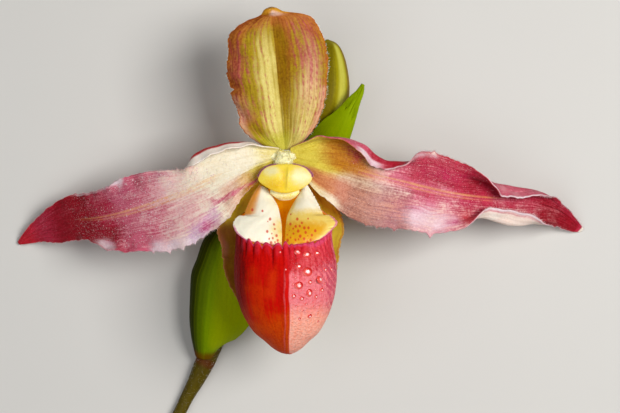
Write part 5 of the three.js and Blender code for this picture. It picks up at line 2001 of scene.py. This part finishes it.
@dataclass
class Centre:
    """Column, staminode shield and the two anthers.

    Attributes:
        middle: Middle of the staminode.
        outline: Its outline as seen from in front.
        rise: Height of its dome.
        column_axis, column_radius, column_flat: The column's axis, its half width and its
            thickness against that.
        anther_at: Distance of an anther from the middle, and its height and depth.
        anther_size: Half sizes of an anther.
        border, column, collar: Points of the finished pieces that hairs stand on.
    """

    middle: tuple[float, float, float] = (0.0, -5.8, 31.6)
    outline: Points = (
        (-6.53, -6.34), (-6.56, -5.47), (-6.01, -4.35), (-5.02, -3.36), (-3.91, -2.79), (-2.42, -2.5),
        (-0.44, -2.45), (1.3, -2.42), (3.03, -2.52), (5.01, -3.17), (6.13, -4.11), (6.75, -5.1),
        (6.75, -6.09), (6.13, -7.08), (5.01, -8.02), (3.53, -8.81), (1.54, -9.43), (-0.44, -9.56),
        (-2.42, -9.18), (-3.91, -8.47), (-5.27, -7.65), (-6.14, -6.95),
    )
    rise: float = 1.9
    column_axis: Points = (
        (-0.3, 0.3, 27.9), (-0.3, -2.2, 28.9), (-0.2, -4.8, 29.4), (-0.1, -7.4, 29.4), (0, -9.6, 29),
        (0, -11.2, 28.4),
    )
    column_radius: tuple[float, ...] = (1.3, 2.3, 2.9, 3.3, 3.5, 1.6)
    column_flat: float = 0.42
    anther_at: tuple[float, float, float] = (4.55, -5.7, 29.8)
    anther_size: tuple[float, float, float] = (1.1, 1.4, 0.8)
    border: Array = later()
    column: Array = later()
    collar: Array = later()

    def build_staminode(self) -> None:
        """Makes the shield: rings from its middle to its outline, domed in front, hollow behind.

        The front rises as rise * (1.04 - (x / 7.2)^2 - (y / 4.3)^2), with a trough left of its
        middle, a thin ridge right of that and low dimples.
        """
        around, rings = 160, 44
        closed = np.array(self.outline[-1:] + self.outline + self.outline[:3])
        place = (1 + len(self.outline) * np.arange(around) / around) / (len(closed) - 1)
        border, centre = path(closed, place), np.array(self.middle)
        share = np.linspace(0.004, 1, rings)[:, None] ** 0.85
        flat = centre[:2] + (border - centre[:2]) * share[..., None]
        x, y = flat[..., 0], flat[..., 1] - centre[1]
        part = share + 0 * x
        dome = self.rise * np.clip(1.04 - (x / 7.2) ** 2 - (y / 4.3) ** 2, 0.0, 1)
        folds = 0.16 * bell(x, 0.75 + 0.08 * y, 0.35) - 0.3 * bell(x, -0.3, 1.1)
        dimple = 0.12 * wander(x * 0.16, 12, 0.6, 2) * wander(y * 0.16, 13, 0.6, 2)
        front = centre[2] + dome + folds * fall(part, 0.6, 0.4) + dimple * fall(part, 0.7, 0.3)
        behind = centre[2] + 0.9 * (1 - part**2) - 0.55
        fore, aft = (np.concatenate([flat, z[..., None]], -1) for z in (front, behind))
        both = np.concatenate([fore, aft[::-1]])
        skin = capped_rings(both, fore[0].mean(0), aft[0].mean(0), turned=True)
        x, y = (skin.points[:, :2] - centre[:2]).T
        edge = np.append(np.concatenate([part, part[::-1]]).ravel(), [0, 0])
        skin.marks = {
            "pale": spots(x, y, (1, 4.2, 0.2, 2.9, 2.4), (0.8, -3.4, 1.7, 2.2, 1.3)),
            "amber": spots(x, y, (0.9, -2.8, -2.0, 2.6, 1.7), (0.5, -0.3, 0.4, 1.1, 2.8))
            + 0.7 * rise(edge, 0.88, 0.12) * rise(-y, 0.6, 1.4),
            "plum": rise(edge, 0.94, 0.04) * rise(y, -0.3, 0.8) * rise(np.abs(x), 1.6, 0.8),
            "frost_glints": 0.6 + 0 * x,
        }
        skin.dress("staminode_shield", STAMINODE_FINISH, Slot.STAMINODE, "staminode")
        self.border = np.column_stack([border, np.full(around, centre[2] - 0.1)])

    def build_fringe(self) -> None:
        """Makes the short purple hairs along the shield's upper shoulders."""
        draw, count = np.random.default_rng(5), 1500
        pick = draw.integers(0, len(self.border), count)
        root = self.border[pick] + draw.normal(0, 0.06, (count, 3)) * [1, 1, 2.5]
        away = root - np.array(self.middle)
        shoulder = rise(away[:, 1], 0.1, 0.6) * rise(np.abs(away[:, 0]), 1.3, 0.8)
        kept = draw.uniform(0, 1, count) < shoulder
        root, away = root[kept], away[kept]
        way = unit(unit(away) * [1, 1, 0.3] + draw.normal(0, 0.28, root.shape) + [0, 0, 0.35])
        length = draw.uniform(0.2, 0.5, len(root))
        hairs = cones(root, way, length, thick=0.04, droop=0.0)
        hairs.dress("staminode_fringe", PLUM_HAIR, Slot.STAMINODE)

    def build_column(self) -> None:
        """Makes the column: flattened rings along its axis with soft lumps."""
        rows, sides = 60, 72
        u = np.linspace(0, 1, rows + 1)
        radius = path([(r,) for r in self.column_radius], u)
        lumps = 1 + 0.05 * wander(u[:, None] * 3 + np.arange(sides) / sides, 3, 1, 4)
        self.column, first, last = swept_rings(self.column_axis, u, radius * lumps, self.column_flat)
        skin = capped_rings(self.column, first, last)
        y = skin.points[:, 1]
        skin.marks["white"] = np.maximum(rise(y, -3.4, 2.2), 0.6 * rise(-y, 8.4, 0.8))
        skin.dress("column_body", COLUMN_FINISH, Slot.COLUMN, "column")

    def build_collar(self) -> None:
        """Makes the pale lumpy tissue where the column, the petals and the upper sepal meet.

        It is an egg, pushed in and out by seeded waves over its three coordinates.
        """
        egg = ball(48, 72)[0]
        waves = (wander(egg[..., k] + 0.4 * egg[..., k - 1], 14 + k, 0.6, 1.8) for k in range(3))
        lumps = 1 + 0.13 * sum(waves)
        self.collar = np.array([-0.3, -0.6, 27.0]) + egg * [2.8, 1.6, 1.3] * lumps[..., None]
        skin = capped_rings(self.collar, self.collar[0].mean(0), self.collar[-1].mean(0), turned=True)
        skin.marks["white"] = fall(skin.points[:, 1], 0.2, 1.2)
        skin.dress("column_collar", COLUMN_FINISH, Slot.COLUMN)

    def build_down(self) -> None:
        """Makes the down on the top of the column and on the collar."""
        draw, count, top = np.random.default_rng(8), 800, 21
        i, j = draw.integers(0, top, count), draw.integers(0, self.column.shape[1], count)
        k, m = draw.integers(4, 44, count), draw.integers(0, self.collar.shape[1], count)
        root = np.concatenate([self.column[i, j], self.collar[k, m]])
        out = np.concatenate([grid_normals(self.column, True)[i, j], -grid_normals(self.collar, True)[k, m]])
        kept = out[:, 2] > -0.1
        root, out = root[kept], out[kept]
        way = unit(out + draw.normal(0, 0.55, root.shape))
        length = draw.uniform(0.2, 0.6, len(root))
        cones(root, way, length, thick=0.07, droop=0.0).dress("column_down", GOLD_HAIR, Slot.COLUMN)

    def build_anther(self, name: str, node: str, sign: int) -> None:
        """Makes one anther: an egg with a groove along it.

        Args:
            name: Name of the piece.
            node: The solid it stands for.
            sign: -1 for the left one, 1 for the right one.
        """
        ring, turn = ball(24, 36)
        ring[..., ::2] *= 1 - 0.16 * bell(turn, np.pi / 2, 0.3)[..., None]
        across, y, z = self.anther_at
        at, size = np.array([sign * across, y, z]), np.array(self.anther_size)
        tall = [0, size[1], 0]
        skin = capped_rings(at + ring * size, at + tall, at - tall, turned=True)
        skin.dress(name, ANTHER_FINISH, Slot.ANTHER, node)


# ---------------- stem, ovary and bud


# Ribs round the ovaries and the bud.
RIBS = 5


def swept_rings(axis: Points, u: Array, radius: Array, flat: float = 1.0) -> tuple[Array, Array, Array]:
    """Rings of points round an axis.

    A ring's point is the axis point plus radius times (cos * wide + flat * sin * deep), where wide
    lies level across the axis and deep stands on it and on the axis.

    Args:
        axis: Equally spaced points of the axis.
        u: Places along it.
        radius: Radius by place and place round the ring.
        flat: Depth of a ring against its width.

    Returns:
        The rings, and the axis's two ends.
    """
    sides = radius.shape[1]
    centre = path(axis, u)
    tangent = unit(path(axis, u + 1e-3) - path(axis, u - 1e-3))
    wide = unit(np.cross(tangent, [0, 0, 1.0]))
    deep = np.cross(wide, tangent)
    turn = 2 * math.pi * (np.arange(sides)[:, None] + 0.5) / sides
    aside = wide[:, None] * np.cos(turn) + flat * deep[:, None] * np.sin(turn)
    return centre[:, None] + aside * radius[..., None], centre[0], centre[-1]


@dataclass
class Organ:
    """A round organ of the spray, swept along its axis with five ribs and slight lumps.

    Round it, radius = size * (1 + ribs * cos(5 a) + 0.35 * ribs * cos(15 a)) * lumps.

    Attributes:
        name: Name of the finished piece.
        node: The solid that it stands for.
        slot: The record's slot.
        finish: Its finish.
        axis: Equally spaced points of its axis.
        radius: Radius at each.
        rows: Rings of points along it.
        sides: Points round a ring.
        ribs: Depth of a rib against the radius.
        seed: Seed of the lumps.
        joint: Place of a node's ring along it, where it has one.
        on_table: True where its underside lies flat on the table and its first end is cut.
        rings: Points of the finished organ.
    """

    name: str
    node: str
    slot: Slot
    finish: TissueFinish
    axis: Points
    radius: tuple[float, ...]
    rows: int
    sides: int
    ribs: float
    seed: int
    joint: float = math.inf
    on_table: bool = False
    rings: Array = later()

    def build(self) -> None:
        """Makes the organ with its marks and dresses it."""
        u = np.linspace(0, 1, self.rows + 1)
        size = np.maximum(path([(r,) for r in self.radius], u), 0.05)
        turn = 2 * math.pi * (np.arange(self.sides) + 0.5) / self.sides
        rib = 1 + self.ribs * (np.cos(RIBS * turn) + 0.35 * np.cos(3 * RIBS * turn))
        lumps = 1 + 0.012 * wander(u[:, None] + 0.3 * np.cos(turn), self.seed, 0.6, 3)
        self.rings, first, last = swept_rings(self.axis, u, size * rib * lumps)
        if self.on_table:
            self.rings[..., 2] = np.maximum(self.rings[..., 2], 0.0)
        skin = capped_rings(self.rings, first, last)
        middle, x = path(self.axis, u)[:, None], skin.points[:, 0]
        along = np.append(np.repeat(u, self.sides), [0.0, 1.0])
        across = np.append(((self.rings - middle)[..., 0] / size).ravel(), [0, 0])
        fore = np.append((self.rings > middle)[..., 2].ravel(), [0, 0])
        skin.marks = {
            "crest": np.append(np.tile(0.5 + 0.5 * np.cos(RIBS * turn), self.rows + 1), [0, 0]),
            "node": bell(along, self.joint, 0.018),
            "cut": 1.0 * (along < 1e-6) * self.on_table,
            "base": fall(along, 0, 0.25), "tip": rise(along, 0.8, 0.2),
            # Painted shade: west and shade darken the side away from the key light.
            "west": rise(-x, -x.mean(), 4), "shade": fall(x, x.mean() + 1, 3),
            # Painted highlight: ridge is a pale streak down the lit front of the bud.
            "ridge": bell(across, 0.69, 0.16) * fore * rise(along, 0, 0.1) * fall(along, 0.8, 0.2),
            "east": rise(across, 0.86, 0.1),
        }
        skin.dress(self.name, self.finish, self.slot, self.node)

    def build_down(self, name: str, count: int, seed: int) -> None:
        """Makes the short down that covers the finished organ.

        Args:
            name: Name of the piece.
            count: How many hairs are drawn. Those that face the table are left out.
            seed: Seed of their places.
        """
        draw = np.random.default_rng(seed)
        i = draw.integers(2, self.rows - 1, count)
        j = draw.integers(0, self.sides, count)
        root, out = self.rings[i, j], grid_normals(self.rings, True)[i, j]
        kept = (out[:, 2] > -0.4) & (root[:, 2] > 0.8)
        root, out = root[kept], out[kept]
        way = unit(out + draw.normal(0, 0.3, root.shape))
        length = draw.uniform(0.2, 0.45, len(root))
        cones(root, way, length, thick=0.03, droop=0.1).dress(name, PALE_HAIR, self.slot)


STEM = dict(
    name="flower_stem_rod", node="flower_stem", slot=Slot.STEM, finish=STEM_FINISH,
    axis=(
        (-32.2, -75.5, 1.8), (-29.9, -71, 1.65), (-27.6, -66.5, 1.6), (-25.4, -62, 1.7),
        (-23, -57.5, 2.1), (-20.8, -53, 2.5), (-18.6, -49, 2.2), (-15.4, -43.5, 1.7),
        (-11.8, -37, 1.6), (-8.2, -30.4, 1.6), (-4.5, -23.8, 1.6), (-0.9, -17.2, 1.6),
        (2.8, -10.6, 1.6), (6.5, -4.4, 1.5), (8.6, -1.6, 1.7),
    ),
    radius=(1.8, 1.65, 1.6, 1.7, 2.1, 2.5, 2.2, 1.7, 1.6, 1.6, 1.6, 1.6, 1.6, 1.5, 1.4),
    rows=220, sides=48, ribs=0.0, seed=41, joint=0.36, on_table=True,
)
OVARY = dict(
    name="ovary_rod", node="ovary", slot=Slot.OVARY, finish=OVARY_FINISH,
    axis=(
        (-17.4, -46.8, 6.1), (-14.4, -43.6, 7.2), (-11, -40, 8.5), (-8, -34, 10), (-5.5, -28, 11.5),
        (-3.6, -22, 13), (-2, -16, 14.6), (-0.9, -10.5, 16.2), (-0.2, -5.5, 18.8), (0, -2.1, 22.1),
        (0, -0.7, 25.4),
    ),
    radius=(1.35, 1.5, 1.65, 1.8, 2, 2.2, 2.4, 2.4, 2.3, 2, 1.8), rows=160, sides=60, ribs=0.04, seed=43,
)
BUD = dict(
    name="bud_body", node="bud", slot=Slot.BUD, finish=BUD_FINISH,
    axis=(
        (8.4, 4.75, 5.4), (8.9, 7.8, 5.8), (9.5, 11, 6), (10.1, 14.6, 6.1), (10.6, 18.4, 6.1),
        (10.9, 22, 6), (11, 25.6, 6), (10.8, 28.4, 6.1), (10.6, 29.9, 6.3),
    ),
    radius=(1.8, 3.6, 5, 5.8, 5.7, 5, 3.9, 2.5, 0.3), rows=140, sides=100, ribs=0.02, seed=45,
)
BUD_OVARY = dict(
    name="bud_ovary_rod", node="bud_ovary", slot=Slot.OVARY, finish=OVARY_FINISH,
    axis=((8.5, -1, 4.9), (8.45, 0.6, 5.1), (8.4, 2.4, 5.2), (8.4, 4.1, 5.3)),
    radius=(1.3, 1.6, 1.8, 1.7), rows=30, sides=40, ribs=0.03, seed=47,
)


# ---------------- studio


@dataclass(frozen=True)
class Lamp:
    """A rectangular soft light.

    Attributes:
        name: Name of the light.
        at: Its place in metres.
        size: Its width and height in metres.
        power: Its power in watts.
        colour: Its colour.
    """

    name: str
    at: tuple[float, float, float]
    size: tuple[float, float]
    power: float
    colour: tuple[float, float, float]

    def build(self) -> None:
        """Makes the light and turns it towards the bloom, 20 mm above the table's middle."""
        data = bpy.data.lights.new(self.name, "AREA")
        data.shape, data.energy, data.color = "RECTANGLE", self.power, self.colour
        data.size, data.size_y = self.size
        lamp = placed(self.name, data)
        lamp.location = self.at
        x, y, z = np.array([0.0, 0.0, 0.02]) - self.at
        lamp.rotation_euler = (math.atan2(math.hypot(x, y), -z), 0.0, math.atan2(y, x) - math.pi / 2)


@dataclass(frozen=True)
class Studio:
    """Camera above the bloom, soft lights and the pale table.

    Attributes:
        camera_at: Camera's place, looking straight down, in metres.
        lens: Focal length in millimetres on a sensor 36 mm wide.
        key: The large soft light on the bloom's right.
        fill: The weak light on its left.
        sky: Strength of the even light from all round.
    """

    camera_at: tuple[float, float, float] = (0.00245, 0.0070, 0.775)
    lens: float = 174.19
    key: Lamp = Lamp("key_light", (0.3, 0.08, 0.56), (0.26, 0.36), 3.9, (1.0, 0.985, 0.96))
    fill: Lamp = Lamp("fill_light", (-0.26, -0.1, 0.62), (0.5, 0.5), 1.3, (0.96, 0.98, 1.0))
    sky: float = 0.09

    def build_camera(self) -> None:
        """Makes the camera and the colour handling."""
        data = bpy.data.cameras.new("camera")
        data.lens, data.sensor_width, data.clip_start = self.lens, 36.0, 0.01
        camera = placed("camera", data)
        camera.location = self.camera_at
        bpy.context.scene.camera = camera
        bpy.context.scene.view_settings.view_transform = "Standard"

    def build_lights(self) -> None:
        """Makes the two lights and the even light."""
        self.key.build()
        self.fill.build()
        world = bpy.data.worlds.new("studio")
        world.use_nodes = True
        sky = world.node_tree.nodes["Background"]
        sky.inputs["Color"].default_value = (0.95, 0.97, 1.0, 1.0)
        sky.inputs["Strength"].default_value = self.sky
        bpy.context.scene.world = world

    def build_table(self) -> None:
        """Makes the pale table top: a wide slab just under the stem."""
        far, top, low = 2.0, -0.0001, -0.02
        square = [(-far, -far), (far, -far), (far, far), (-far, far)]
        points = [(x, y, z) for z in (top, low) for x, y in square]
        faces = [[0, 1, 2, 3], [7, 6, 5, 4], [0, 4, 5, 1], [1, 5, 6, 2], [2, 6, 7, 3], [3, 7, 4, 0]]
        mesh = bpy.data.meshes.new("table_top")
        mesh.from_pydata(points, [], faces)
        desk = Desk("table_paint")
        cloud = desk.noise(desk.here(), 30.0, 3.0)
        colour = desk.mixed(cloud * 0.25, "cfcdc9", "c6c4c0")
        mesh.materials.append(desk.surface({"Base Color": colour, "Roughness": 0.7}))
        placed("table_top", mesh)


def main() -> None:
    """Builds the studio and then the spray, piece by piece."""
    logging.basicConfig(level=logging.INFO, format="%(name)s %(message)s")
    studio = Studio()
    studio.build_camera()
    studio.build_lights()
    studio.build_table()

    left, right, dorsal = LeftPetal(**LEFT_PETAL), RightPetal(**RIGHT_PETAL), DorsalSepal(**DORSAL_SEPAL)
    bracts = (Bract(**sizes) for sizes in (LOWER_BRACT, UPPER_BRACT))
    for blade in (left, right, dorsal, Synsepal(**SYNSEPAL), *bracts):
        blade.build()

    lip = Lip()
    lip.build_pouch()
    lip.build_lobe("lobe_left", lip.left)
    lip.build_lobe("lobe_right", lip.right)
    lip.build_drops()

    centre = Centre()
    centre.build_column()
    centre.build_collar()
    centre.build_down()
    centre.build_staminode()
    centre.build_fringe()
    centre.build_anther("anther_left_mass", "anther_left", -1)
    centre.build_anther("anther_right_mass", "anther_right", 1)

    stem, ovary, bud, bud_ovary = (Organ(**sizes) for sizes in (STEM, OVARY, BUD, BUD_OVARY))
    for organ in (stem, ovary, bud, bud_ovary):
        organ.build()
    stem.build_down("stem_down", 1800, 61)
    ovary.build_down("ovary_down", 900, 62)

    left.build_hairs("left_petal_hairs", 900, ((0.3, 0.99, 1, 0.5), (0.3, 0.99, -1, 0.5)), ROSE_HAIR)
    ranges = ((0.38, 0.58, 1, 0.4), (0.8, 0.99, 1, 0.3), (0.25, 0.99, -1, 0.3))
    right.build_hairs("right_petal_hairs", 1300, ranges, ROSE_HAIR)
    dorsal.build_hairs("dorsal_sepal_hairs", 500, ((0.1, 0.98, 1, 0.5), (0.1, 0.96, -1, 0.5)), PALE_HAIR)
    left.build_dew("left_petal_dew", 1800, (0.24, 0.66), (0.06, 0.2))
    right.build_dew("right_petal_dew", 500, (0.2, 0.72), (0.05, 0.11))


if __name__ == "__main__":
    main()
